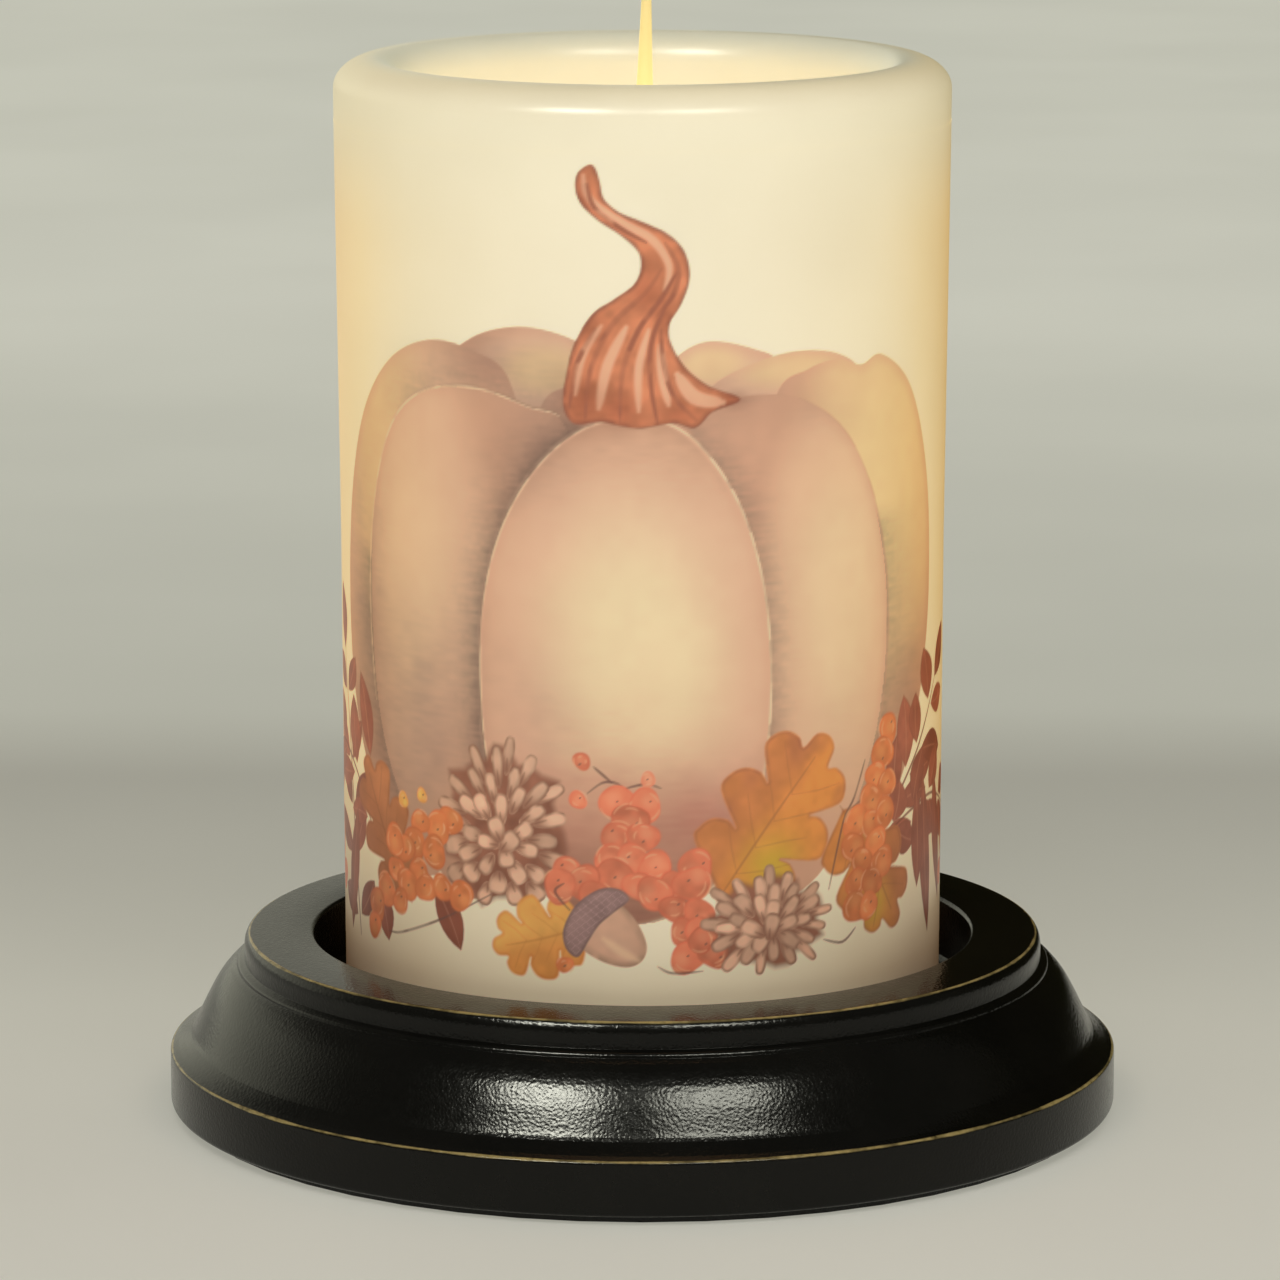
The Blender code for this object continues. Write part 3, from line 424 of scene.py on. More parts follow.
CAD_FINISHES = (
    (STEEL, "threaded_nipple top_washer bottom_washer socket_bracket bracket_screw switch_screw"),
    (BRASS, "top_locknut bottom_locknut terminal_screw_line terminal_screw_neutral "
            "socket_center_contact switch_contact_in switch_contact_out"),
    (NICKEL, "socket_screw_shell bulb_cap bulb_contact plug_blade_line plug_blade_neutral"),
    (PHENOLIC, "socket_housing"),
    (PLASTIC, "cord_bushing switch_bottom_shell switch_top_shell switch_wheel plug_body"),
    (BLACK_GLASS, "bulb_insulator"),
    (INSULATION, "line_lead neutral_lead"),
    (VINYL, "cord_base_to_switch cord_switch_to_plug"),
    (GLASS, "bulb_glass bulb_stem"),
    (glowing_filament(), "bulb_filament"),
    (felt(), "felt_pad"),
    (CARD_TUBE, "candle_cover"),
    (PAINT, "wood_base"),
    (WAX, "wax_sleeve"),
    (SILICONE, "silicone_flame"),
)
for finish, names in CAD_FINISHES:
    for name in names.split():
        mesh = nodes[name].data
        mesh.materials.clear()
        mesh.materials.append(finish)


def dress(made, finish, body, slot, *stands_for):
    """Finishes a piece: its material, its body and the CAD nodes it stands for; the slot argument is not
    used.
    """
    made.data.materials.append(finish)
    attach(made, body)
    if stands_for:
        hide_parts(*stands_for)
    return made


# ---------------------------------------------------------------- lamp pieces

def wooden_base():
    """The turned ring: flat top, lip, ledge, long rounded slope, cove and a straight band at the foot."""
    moulding = [(67.4, 30.5), (67.8, 30.0), (68.05, 29.4), (68.16, 28.9), (68.2, 28.3), (68.2, 26.15),
                (69.15, 25.75), (69.45, 25.45), (69.5, 24.95), (70.6, 24.25), (71.6, 23.25), (72.4, 22.3),
                (73.1, 21.3), (73.75, 20.2), (74.3, 19.15), (74.9, 18.0), (75.5, 16.75), (76.1, 15.5),
                (76.6, 14.45), (76.95, 13.75), (77.4, 13.1), (78.5, 12.15), (79.6, 11.35), (80.55, 10.85),
                (80.9, 10.65)]
    outline = [(RECESS_RADIUS + 0.5 * MM, BASE_TOP), (62.0 * MM, BASE_TOP), (67.2 * MM, BASE_TOP)]
    outline += [(radius * MM, height * MM) for radius, height in moulding]
    outline += [(BASE_RADIUS, 10.3 * MM), (BASE_RADIUS, 6.0 * MM), (BASE_RADIUS, BASE_BOTTOM + 0.6 * MM)]
    outline += [(BASE_RADIUS - 0.2 * MM, BASE_BOTTOM + 0.2 * MM), (BASE_RADIUS - 0.6 * MM, BASE_BOTTOM)]
    outline += [(POCKET_RADIUS, BASE_BOTTOM), (POCKET_RADIUS, POCKET_TOP), (NIPPLE_HOLE, POCKET_TOP)]
    outline += [(NIPPLE_HOLE, RECESS_FLOOR), (RECESS_RADIUS - 0.8 * MM, RECESS_FLOOR)]
    outline += [(RECESS_RADIUS, RECESS_FLOOR + 0.8 * MM), (RECESS_RADIUS, BASE_TOP - 0.5 * MM)]
    base = lathe("turned_base", rounded(outline, 0.22 * MM, 0.03 * MM, 3), 256)
    return dress(base, PAINT, "lamp_base", "black_paint", "wood_base")


def wax_body():
    """The hollow sleeve with its elliptical rim, open at the foot."""
    wall_top, wall_bottom = SLEEVE_TOP - SHOULDER_DROP, SLEEVE_BOTTOM + 0.6 * MM
    shoulder = SLEEVE_RADIUS + SLEEVE_FLARE - CREST_RADIUS
    outline = arc((CREST_RADIUS, wall_top), shoulder, SHOULDER_DROP, 90, 0, 18)
    inner = arc((CREST_RADIUS, SLEEVE_TOP - LIP_DROP), CREST_RADIUS - SLEEVE_BORE, LIP_DROP, 180, 90, 14)
    rows = 40
    outline += [wall_point(wall_top + (wall_bottom - wall_top) * row / rows) for row in range(1, rows + 1)]
    outline += [(SLEEVE_RADIUS - 0.2 * MM, SLEEVE_BOTTOM + 0.15 * MM),
                (SLEEVE_RADIUS - 0.6 * MM, SLEEVE_BOTTOM)]
    outline += [(SLEEVE_BORE, SLEEVE_BOTTOM)] + inner
    sleeve = lathe("wax_pillar", outline, 256)
    return dress(sleeve, WAX, "sleeve", "wax", "wax_sleeve")


def wall_point(height):
    """(radius, height) on the sleeve's outer wall, which flares a little towards the rim."""
    middle = (SLEEVE_BOTTOM + SLEEVE_TOP) / 2
    share = (height - SLEEVE_BOTTOM) / (middle - SLEEVE_BOTTOM)
    radius = SLEEVE_RADIUS + WALL_FLARE * min(1.0, max(0.0, share))
    if height > middle:
        share = (height - middle) / (SLEEVE_TOP - SHOULDER_DROP - middle)
        radius += (SLEEVE_FLARE - WALL_FLARE) * share
    return radius, height


def flame():
    """The silicone skin, whose long point leans a little to one side."""
    outline = [(0.0, 205.0), (0.3, 204.7), (0.42, 204.2), (0.68, 194.0), (1.3, 177.0), (1.75, 168.0),
               (2.2, 160.0), (2.85, 152.0), (3.6, 145.0), (4.65, 138.0), (5.9, 132.0), (7.1, 127.5),
               (8.4, 123.5), (9.6, 119.8), (10.9, 115.0), (12.0, 108.5), (12.45, 103.0), (12.5, 99.0),
               (11.9, 94.0), (10.4, 89.0), (8.7, 85.6), (7.6, 83.6), (6.8, 83.5), (8.0, 86.4), (9.6, 89.6),
               (11.0, 94.4), (11.6, 99.4), (11.2, 106.0), (10.0, 113.0), (7.6, 120.0), (3.0, 124.4),
               (0.0, 124.6)]
    skin = lathe("flame_skin", [(radius * MM, height * MM) for radius, height in outline], 64, closed=False)
    for vertex in skin.data.vertices:
        rise = max(0.0, (vertex.co.z - LEAN_START) / LEAN_HEIGHT)
        vertex.co.x += LEAN * rise**2
    return dress(skin, SILICONE, "bulb", "amber_silicone", "silicone_flame")


def card_tube():
    """The card tube that hides the socket, with its wound edge softened."""
    low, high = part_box("candle_cover")
    outer, bore, soft = high[0], high[0] - COVER_WALL, 0.25 * MM
    outline = [(bore + soft, high[2]), (outer - soft, high[2]), (outer, high[2] - soft),
               (outer, low[2] + soft), (outer - soft, low[2]), (bore + soft, low[2]), (bore, low[2] + soft),
               (bore, high[2] - soft)]
    return dress(lathe("card_tube", outline, 96), CARD_TUBE, "lamp_base", "fibre_tube", "candle_cover")


def finer(name, node, finish, slot, ease=0.0):
    """A finer copy of a CAD piece: its sharp edges eased by so much, or all of it subdivided smooth."""
    shape = bmesh.new()
    shape.from_mesh(nodes[node].data)
    bmesh.ops.remove_doubles(shape, verts=shape.verts, dist=1e-6)
    if ease:
        bmesh.ops.dissolve_limit(shape, angle_limit=radians(1), verts=shape.verts, edges=shape.edges)
        sharp = [edge for edge in shape.edges if edge.calc_face_angle(0.0) > radians(35)]
        bmesh.ops.bevel(shape, geom=sharp, offset=ease, segments=3, profile=0.5, affect="EDGES",
                        clamp_overlap=True)
    else:
        bmesh.ops.join_triangles(shape, faces=shape.faces, angle_face_threshold=0.9,
                                 angle_shape_threshold=0.9)
    mesh = bpy.data.meshes.new(name)
    shape.to_mesh(mesh)
    shape.free()
    mesh.shade_smooth()
    made = scene_object(name, mesh)
    if ease:
        mesh.set_sharp_from_angle(angle=radians(50))
    else:
        smoothing = made.modifiers.new("smooth", "SUBSURF")
        smoothing.levels = smoothing.render_levels = 2
        bpy.context.view_layer.update()
        made.data = bpy.data.meshes.new_from_object(made.evaluated_get(bpy.context.evaluated_depsgraph_get()))
        made.modifiers.clear()
    return dress(made, finish, "lamp_base", slot, node)


def cord_pieces():
    """Finer cord lengths, switch halves and plug."""
    finer("cord_to_switch", "cord_base_to_switch", VINYL, "cord_vinyl")
    finer("cord_to_plug", "cord_switch_to_plug", VINYL, "cord_vinyl")
    finer("switch_lower_half", "switch_bottom_shell", PLASTIC, "moulded_plastic", 0.35 * MM)
    finer("switch_upper_half", "switch_top_shell", PLASTIC, "moulded_plastic", 0.35 * MM)
    finer("plug_moulding", "plug_body", PLASTIC, "moulded_plastic", 0.4 * MM)


wooden_base()
wax_body()
flame()
card_tube()
cord_pieces()


# ---------------------------------------------------------------- the printed picture

SKIN_LIGHT = np.array((0.93, 0.81, 0.67))
SKIN = np.array((0.84, 0.58, 0.52))
SKIN_EDGE = np.array((0.72, 0.45, 0.40))
SKIN_SHADE = np.array((0.44, 0.31, 0.30))
HATCH = np.array((0.58, 0.62, 0.66))
SKIN_GOLD = np.array((0.90, 0.68, 0.52))
STEM = np.array((0.70, 0.28, 0.19))
STEM_LIGHT = np.array((0.96, 0.61, 0.52))
STEM_DARK = np.array((0.40, 0.15, 0.12))
RED_BERRY = np.array((0.80, 0.26, 0.19))
ORANGE_BERRY = np.array((0.74, 0.26, 0.13))
BERRY_LIGHT = np.array((0.94, 0.56, 0.42))
ORANGE_LEAF = np.array((0.82, 0.35, 0.125))
YELLOW_LEAF = np.array((0.93, 0.53, 0.19))
GREEN_TINGE = np.array((0.64, 0.50, 0.08))
BROWN_LEAF = np.array((0.57, 0.23, 0.125))
MAROON = np.array((0.34, 0.125, 0.105))
MAROON_LIGHT = np.array((0.56, 0.28, 0.25))
CONE_LIGHT = np.array((0.76, 0.51, 0.47))
CONE_BODY = np.array((0.36, 0.185, 0.16))
CONE_DARK = np.array((0.22, 0.10, 0.085))
ACORN_CAP = np.array((0.35, 0.24, 0.30))
ACORN_NUT = np.array((0.70, 0.46, 0.42))
TWIG = np.array((0.20, 0.11, 0.12))
SHADOW = np.array((0.45, 0.40, 0.42))


def curve(points, closed=True, steps=6):
    """A smooth line through the given points (Catmull-Rom)."""
    points = np.array(points, float)
    count = len(points)
    result = []
    for index in range(count if closed else count - 1):
        if closed:
            a, b, c, d = (points[(index + k) % count] for k in (-1, 0, 1, 2))
        else:
            a, b, c, d = (points[min(max(index + k, 0), count - 1)] for k in (-1, 0, 1, 2))
        for step in range(steps):
            t = step / steps
            result.append(0.5 * (2 * b + (c - a) * t + (2 * a - 5 * b + 4 * c - d) * t**2
                                 + (3 * b - a - 3 * c + d) * t**3))
    if not closed:
        result.append(points[-1])
    return np.array(result)


def smoothstep(value, low, high):
    t = np.clip((value - low) / (high - low), 0, 1)
    return t * t * (3 - 2 * t)


class Canvas:
    """A grid of print samples: u is the distance round the sleeve in mm, z the height in drawing units."""

    def __init__(self, columns, rows):
        self.columns, self.rows = columns, rows
        self.u, self.z = np.meshgrid(columns, rows)
        self.colour = np.ones(self.u.shape + (3,))

    def window(self, points, margin=0.0):
        """The part of the grid round some points."""
        low, high = np.min(points, axis=0) - margin, np.max(points, axis=0) + margin
        first, last = np.searchsorted(self.columns, (low[0], high[0]))
        bottom, top = np.searchsorted(self.rows, (low[1], high[1]))
        return np.s_[bottom:top, first:last]

    def lay(self, where, amount, colour):
        """Covers part of the print with a colour, by an amount from 0 to 1."""
        amount = np.clip(amount, 0, 1)[..., None]
        self.colour[where] = self.colour[where] * (1 - amount) + colour * amount

    def tint(self, where, amount, colour):
        """Multiplies part of the print by a colour, like a thin wash."""
        amount = np.clip(amount, 0, 1)[..., None]
        self.colour[where] *= 1 - amount * (1 - colour)

    def cloud(self, where, size, seed):
        """Smooth random values from 0 to 1 in patches about size mm across; size may be (across, up)."""
        across, up = size if isinstance(size, tuple) else (size, size)
        table = np.random.default_rng(seed).random((256, 256))
        x, y = self.u[where] / across + 500, self.z[where] / up + 500
        left, low = np.floor(x).astype(int), np.floor(y).astype(int)
        fx, fy = x - left, y - low
        fx, fy = fx * fx * (3 - 2 * fx), fy * fy * (3 - 2 * fy)
        near = table[low % 256, left % 256] * (1 - fx) + table[low % 256, (left + 1) % 256] * fx
        far = table[(low + 1) % 256, left % 256] * (1 - fx) + table[(low + 1) % 256, (left + 1) % 256] * fx
        return near * (1 - fy) + far * fy

    def inside(self, where, outline):
        """Distance to a closed outline, positive inside it."""
        u, z = self.u[where], self.z[where]
        nearest = np.full(u.shape, 1e9)
        crossed = np.zeros(u.shape, bool)
        for (x0, y0), (x1, y1) in zip(outline, np.roll(outline, -1, axis=0)):
            run, rise = x1 - x0, y1 - y0
            length = run * run + rise * rise
            if length == 0:
                continue
            t = np.clip(((u - x0) * run + (z - y0) * rise) / length, 0, 1)
            nearest = np.minimum(nearest, (u - x0 - t * run) ** 2 + (z - y0 - t * rise) ** 2)
            if rise:
                crossed ^= ((y0 > z) != (y1 > z)) & (u < run * (z - y0) / rise + x0)
        return np.sqrt(nearest) * np.where(crossed, 1, -1)

    def stroke(self, points, width, colour, strength=1.0, soft=0.15, taper=True, broken=0.0, seed=1):
        """A brush line through points; it thins towards its ends, and may break up."""
        points = np.array(points, float)
        where = self.window(points, width + soft + 0.3)
        u, z = self.u[where], self.z[where]
        if not u.size:
            return
        nearest, along = np.full(u.shape, 1e9), np.zeros(u.shape)
        count = len(points) - 1
        for index in range(count):
            (x0, y0), (x1, y1) = points[index], points[index + 1]
            run, rise = x1 - x0, y1 - y0
            length = max(run * run + rise * rise, 1e-9)
            t = np.clip(((u - x0) * run + (z - y0) * rise) / length, 0, 1)
            far = (u - x0 - t * run) ** 2 + (z - y0 - t * rise) ** 2
            closer = far < nearest
            nearest = np.where(closer, far, nearest)
            along = np.where(closer, (index + t) / count, along)
        half = width / 2
        if taper:
            half = half * (0.25 + 0.75 * np.sin(pi * np.clip(along, 0.02, 0.98)) ** 0.6)
        amount = smoothstep(np.sqrt(nearest), half + soft, half - soft) * strength
        if broken:
            amount = amount * (1 - broken * smoothstep(self.cloud(where, 1.8, seed), 0.35, 0.75))
        self.lay(where, amount, colour)

    def fill(self, outline, colour, edge=None, mottle=0.0, seed=1, soft=0.18, edge_width=0.5, strength=1.0):
        """A watercolour shape, mottled, with pigment gathered at its edge. Returns (window, distance)."""
        where = self.window(outline, soft + 0.4)
        depth = self.inside(where, outline)
        if not depth.size:
            return where, depth
        shade = np.broadcast_to(colour, depth.shape + (3,)).copy()
        if mottle:
            patches = (self.cloud(where, 3.5, seed) + 0.6 * self.cloud(where, 1.3, seed + 1)) / 1.6 - 0.5
            shade = np.clip(shade * (1 + mottle * patches[..., None]), 0, 1)
        if edge is not None:
            uneven = np.clip(0.25 + 1.1 * self.cloud(where, 1.3, seed + 2), 0, 1)
            gathered = (smoothstep(depth, edge_width, 0.0) * uneven)[..., None] * 0.85
            shade = shade * (1 - gathered) + edge * gathered
        self.lay(where, smoothstep(depth, -soft, soft) * strength, shade)
        return where, depth


def along(start, end, share, sideways=0.0):
    """A point part of the way from start to end, moved sideways to the left in mm."""
    start, end = np.array(start, float), np.array(end, float)
    run = end - start
    normal = np.array((-run[1], run[0])) / max(np.hypot(*run), 1e-9)
    return start + run * share + normal * sideways


def gourd_lobe(canvas, points, centre, reach, light, middle, rim, seed):
    """One rounded lobe of the gourd, light where centre is and darker towards its rim."""
    outline = curve(points, steps=8)
    where = canvas.window(outline, 1.0)
    if not canvas.u[where].size:
        return outline
    depth = canvas.inside(where, outline)
    out = np.hypot((canvas.u[where] - centre[0]) / reach[0], (canvas.z[where] - centre[1]) / reach[1])
    out = out + 0.10 * (canvas.cloud(where, 9.0, seed) - 0.5)
    inner = smoothstep(out, 0.25, 0.95)[..., None]
    outer = smoothstep(out, 0.8, 1.45)[..., None]
    shade = light * (1 - inner) + middle * inner
    shade = shade * (1 - outer) + rim * outer
    gathered = smoothstep(depth, 2.6, 0.0)[..., None] * 0.35
    shade = shade * (1 - gathered) + rim * gathered
    shade = shade * (1 + 0.05 * (canvas.cloud(where, 2.2, seed + 5)[..., None] - 0.5))
    canvas.lay(where, smoothstep(depth, -0.2, 0.2), np.clip(shade, 0, 1))
    return outline


def cast_shade(canvas, outline, box, width, amount, seed):
    """Hatched grey-brown shade just outside an outline, inside a box of (low, high) corners."""
    where = canvas.window(box)
    if not canvas.u[where].size:
        return
    (low_u, low_z), (high_u, high_z) = box
    out = -canvas.inside(where, outline)
    hatch = canvas.cloud(where, (2.4, 0.55), seed)
    grain = canvas.cloud(where, 0.8, seed + 1)
    near = np.exp(-(np.clip(out, 0, None) / width) ** 1.3) * (out > -0.5)
    u, z = canvas.u[where], canvas.z[where]
    faded = smoothstep(z, low_z, low_z + 12) * smoothstep(z, high_z, high_z - 5)
    faded = faded * smoothstep(u, low_u, low_u + 3) * smoothstep(u, high_u, high_u - 3)
    canvas.tint(where, near * faded * amount * (0.55 + 0.5 * hatch + 0.25 * grain), HATCH)


def pumpkin(canvas):
    """A ribbed gourd with a curled stem."""
    back = (
        (((-34, 134), (-29, 140.5), (-19, 143), (-9, 140), (-4, 132), (-16, 126)), (-15, 136), (12, 6)),
        (((2, 134), (6, 139), (11, 141), (18, 139.5), (22, 137), (17, 131), (6, 129)), (11, 137), (9, 5)),
        (((11, 133), (18, 137), (26, 138.6), (34, 137.5), (38, 134), (30, 128), (14, 127)), (25, 136),
         (14, 5)),
        (((-16, 131), (-8, 134), (4, 134), (13, 131), (13, 120), (-16, 120)), (0, 140), (14, 6)),
    )
    for index, (points, centre, reach) in enumerate(back):
        gourd_lobe(canvas, points, centre, reach, SKIN_GOLD, SKIN, SKIN_EDGE, 10 + index)
    far_left = ((-22, 134), (-29, 138.5), (-38, 139.4), (-48, 135), (-57, 125), (-63, 111), (-65.5, 96),
                (-64, 80), (-58, 66), (-48, 54), (-36, 50), (-26, 80), (-20, 118))
    gourd_lobe(canvas, far_left, (-50, 116), (18, 36), SKIN_GOLD, SKIN, SKIN_EDGE, 21)
    far_right = ((22, 131), (28, 135.4), (34, 136.6), (39, 135.2), (44, 136.4), (52, 131), (58, 120),
                 (61.5, 106), (61.5, 90), (57, 74), (49, 60), (38, 50), (28, 60), (20, 110))
    gourd_lobe(canvas, far_right, (46, 116), (17, 31), SKIN_LIGHT * (1.0, 0.93, 0.82), SKIN_GOLD, SKIN_EDGE,
               31)
    left = ((-12, 127), (-19, 130.2), (-28, 132.6), (-38, 131.6), (-46, 126.5), (-51.5, 117), (-54.8, 104),
            (-55.2, 90), (-53, 75), (-48, 63), (-40, 53), (-28, 46), (-14, 60), (-10, 110))
    left_outline = gourd_lobe(canvas, left, (-43, 100), (15, 34), SKIN * (1.04, 1.12, 1.08), SKIN,
                              SKIN_EDGE * 0.95, 41)
    right = ((6, 127), (12, 130.6), (20, 131.8), (28, 130), (36, 124), (42.5, 113), (46.4, 99), (46.6, 84),
             (43.5, 70), (37, 57), (26, 47), (10, 50), (6, 90))
    right_outline = gourd_lobe(canvas, right, (35, 96), (13, 32), SKIN_LIGHT * (0.96, 0.88, 0.90),
                               SKIN * (1.03, 1.05, 1.02), SKIN_EDGE, 51)
    middle = ((-2.5, 128.4), (5, 127.0), (11, 121.5), (16.5, 112), (20, 100), (21.4, 87), (20.9, 73),
              (18, 60), (11, 49), (0, 43.5), (-12, 45.5), (-21, 54.5), (-26.2, 68), (-27.8, 82), (-27.3, 96),
              (-24, 108.5), (-18, 119), (-10.5, 126))
    outline = curve(middle, steps=8)
    cast_shade(canvas, outline, ((-44, 60), (-8, 132)), 5.0, 0.8, 61)
    cast_shade(canvas, outline, ((-34, 56), (-8, 131)), 2.2, 0.9, 62)
    cast_shade(canvas, outline, ((6, 62), (34, 132)), 3.6, 0.85, 63)
    cast_shade(canvas, left_outline, ((-66, 50), (-44, 104)), 4.0, 0.75, 64)
    cast_shade(canvas, left_outline, ((-52, 120), (-10, 143)), 5.0, 0.55, 65)
    cast_shade(canvas, right_outline, ((38, 46), (64, 112)), 4.5, 0.7, 66)
    gourd_lobe(canvas, middle, (-1, 86), (23, 39), SKIN_LIGHT, SKIN, SKIN_EDGE, 71)
    crown = canvas.window(((-26, 104), (20, 129)))
    if canvas.u[crown].size:
        height = smoothstep(canvas.z[crown], 106, 128) * smoothstep(canvas.inside(crown, outline), 0.0, 0.8)
        canvas.tint(crown, height * (0.5 + 0.25 * canvas.cloud(crown, (2.2, 0.6), 72)),
                    np.array((0.80, 0.74, 0.72)))
    foot = canvas.window(((-26, 42), (22, 78)))
    if canvas.u[foot].size:
        height = smoothstep(canvas.z[foot], 76, 50) * smoothstep(canvas.inside(foot, outline), 0.0, 0.8)
        canvas.tint(foot, height * 0.75, np.array((0.80, 0.62, 0.62)))
    mauve = np.array((0.62, 0.62, 0.69))
    for centre, reach, amount in (
        ((-40, 78), (11, 17), 0.9), ((-57, 96), (9, 26), 0.85), ((-52, 66), (10, 16), 0.7),
        ((-27, 138), (9, 5), 0.65), ((-17, 78), (9, 13), 0.35), ((53, 78), (6, 18), 0.8),
        ((36, 72), (9, 12), 0.35), ((12, 60), (14, 9), 0.35), ((14, 132), (9, 4), 0.5),
        ((30, 128), (9, 5), 0.35), ((-14, 134), (7, 6), 0.5), ((-18, 122), (7, 8), 0.5),
        ((-40, 66), (9, 12), 0.5), ((-58, 82), (7, 18), 0.5),
    ):
        wash(canvas, centre, reach, mauve, amount, round(abs(centre[0]) + centre[1]))
    for centre, reach in (((-6, 68), (17, 13)), ((8, 62), (16, 8))):
        wash(canvas, centre, reach, np.array((0.84, 0.66, 0.70)), 0.85, round(centre[1]))
    seam = np.array((0.97, 0.82, 0.72))
    closed = np.vstack([outline, outline[:1]])
    canvas.stroke(closed[2:72] + (0.15, 0.0), 0.42, seam, 0.8, 0.16, taper=False, broken=0.6, seed=81)
    canvas.stroke(closed[80:144] + (0.1, 0.0), 0.4, seam, 0.45, 0.16, taper=False, broken=0.8, seed=85)
    canvas.stroke(left_outline[2:64] - (0.0, 0.4), 0.42, seam, 0.65, 0.16, broken=0.5, seed=82)
    canvas.stroke(right_outline[18:70], 0.42, SKIN_EDGE * 0.85, 0.5, 0.2, broken=0.6, seed=83)
    canvas.stroke(closed[78:140] - (0.45, 0.0), 0.45, SKIN_SHADE, 0.6, 0.25, taper=False, broken=0.6, seed=84)
    stem(canvas)


def wash(canvas, centre, reach, colour, amount, seed):
    """A soft brushed patch of one colour over what is already printed."""
    low, high = np.array(centre) - 2.2 * np.array(reach), np.array(centre) + 2.2 * np.array(reach)
    where = canvas.window((low, high))
    if not canvas.u[where].size:
        return
    out = ((canvas.u[where] - centre[0]) / reach[0]) ** 2 + ((canvas.z[where] - centre[1]) / reach[1]) ** 2
    printed = smoothstep(1 - canvas.colour[where].min(axis=-1), 0.08, 0.22)
    streaks = 0.22 * (canvas.cloud(where, (2.6, 0.7), seed) - 0.5)
    patches = 0.35 * (canvas.cloud(where, 4.0, seed + 1) - 0.5)
    canvas.tint(where, np.exp(-out) * printed * amount * (0.85 + streaks + patches), colour)


def stem(canvas):
    """The gourd's curled, ridged stem."""
    left = ((-8.5, 170.0), (-10.2, 168.6), (-10.6, 166.2), (-9.7, 163.6), (-7.0, 161.0), (-3.4, 158.6),
            (-0.7, 156.0), (-0.2, 153.4), (-1.2, 150.6), (-4.2, 148.2), (-8.0, 145.4), (-10.9, 140.4),
            (-12.4, 134.6), (-12.7, 130.2), (-11.0, 127.4), (-6.6, 127.8), (-1.0, 126.8), (5.0, 127.6),
            (8.4, 126.8))
    right = ((11.4, 129.4), (15.8, 131.2), (10.6, 133.6), (6.6, 137.0), (4.4, 141.0), (4.3, 144.0),
             (6.0, 147.0), (7.4, 151.2), (6.8, 155.4), (4.4, 158.4), (0.8, 160.4), (-3.6, 162.2),
             (-6.2, 164.6), (-6.8, 167.4), (-7.5, 169.5))
    outline = curve(left + right, steps=6)
    canvas.fill(outline, STEM, STEM_DARK, 0.6, 91, edge_width=1.0)
    highlights = (
        (((-9.4, 168.2), (-8.9, 165.2), (-6.4, 162.6), (-2.6, 160.2), (1.6, 157.8), (4.2, 153.6),
          (3.6, 149.6)), 1.5),
        (((-10.8, 132.2), (-9.6, 138.6), (-6.6, 143.6)), 1.2),
        (((-7.0, 130.0), (-5.6, 137.0), (-2.6, 143.4)), 1.7),
        (((-0.6, 129.6), (-0.6, 136.6), (1.0, 143.0)), 1.3),
        (((4.2, 130.6), (3.2, 135.6), (2.8, 140.4)), 1.6),
        (((13.0, 130.8), (8.4, 131.8), (5.6, 135.6)), 2.4),
    )
    for points, width in highlights:
        canvas.stroke(curve(points, False), width, STEM_LIGHT, 0.75, 0.4)
    ridges = (
        ((-9.2, 128.4), (-8.4, 136.0), (-5.0, 143.6), (0.4, 149.0), (3.0, 153.0)),
        ((-3.6, 127.6), (-3.2, 136.0), (-0.6, 143.0), (3.0, 148.2), (5.4, 152.4)),
        ((2.4, 127.6), (1.2, 135.0), (1.6, 141.6), (3.6, 146.6)),
        ((8.6, 128.0), (4.8, 132.4), (3.2, 138.6), (3.0, 143.0)),
        ((0.6, 157.4), (-3.6, 159.8), (-7.6, 163.0), (-8.8, 166.8)),
        ((3.6, 157.2), (5.6, 153.4), (5.0, 149.0), (2.4, 145.4)),
        ((-11.8, 130.0), (-10.6, 137.0), (-7.6, 143.0)),
    )
    dark = np.array((0.56, 0.44, 0.44))
    for centre, reach, amount in (
        ((-10, 131), (3.5, 5), 0.8), ((-3.6, 129.5), (3, 3.5), 0.8), ((5.6, 129), (3.5, 2.2), 0.6),
        ((-8.6, 143), (3, 3), 0.6), ((0.4, 150), (2.2, 4), 0.7), ((-9.6, 165), (1.6, 4), 0.7),
        ((3.4, 145), (1.6, 3.5), 0.6), ((14.6, 131), (3, 1.5), 0.6),
    ):
        wash(canvas, centre, reach, dark, amount, round(abs(centre[0]) + centre[1]))
    for index, points in enumerate(ridges):
        canvas.stroke(curve(points, False), 0.9, STEM_DARK, 0.95, 0.3, broken=0.55, seed=100 + index)
    canvas.stroke(np.vstack([outline, outline[:1]]), 0.35, STEM_DARK * 0.8, 0.6, 0.15, taper=False,
                  broken=0.5, seed=108)


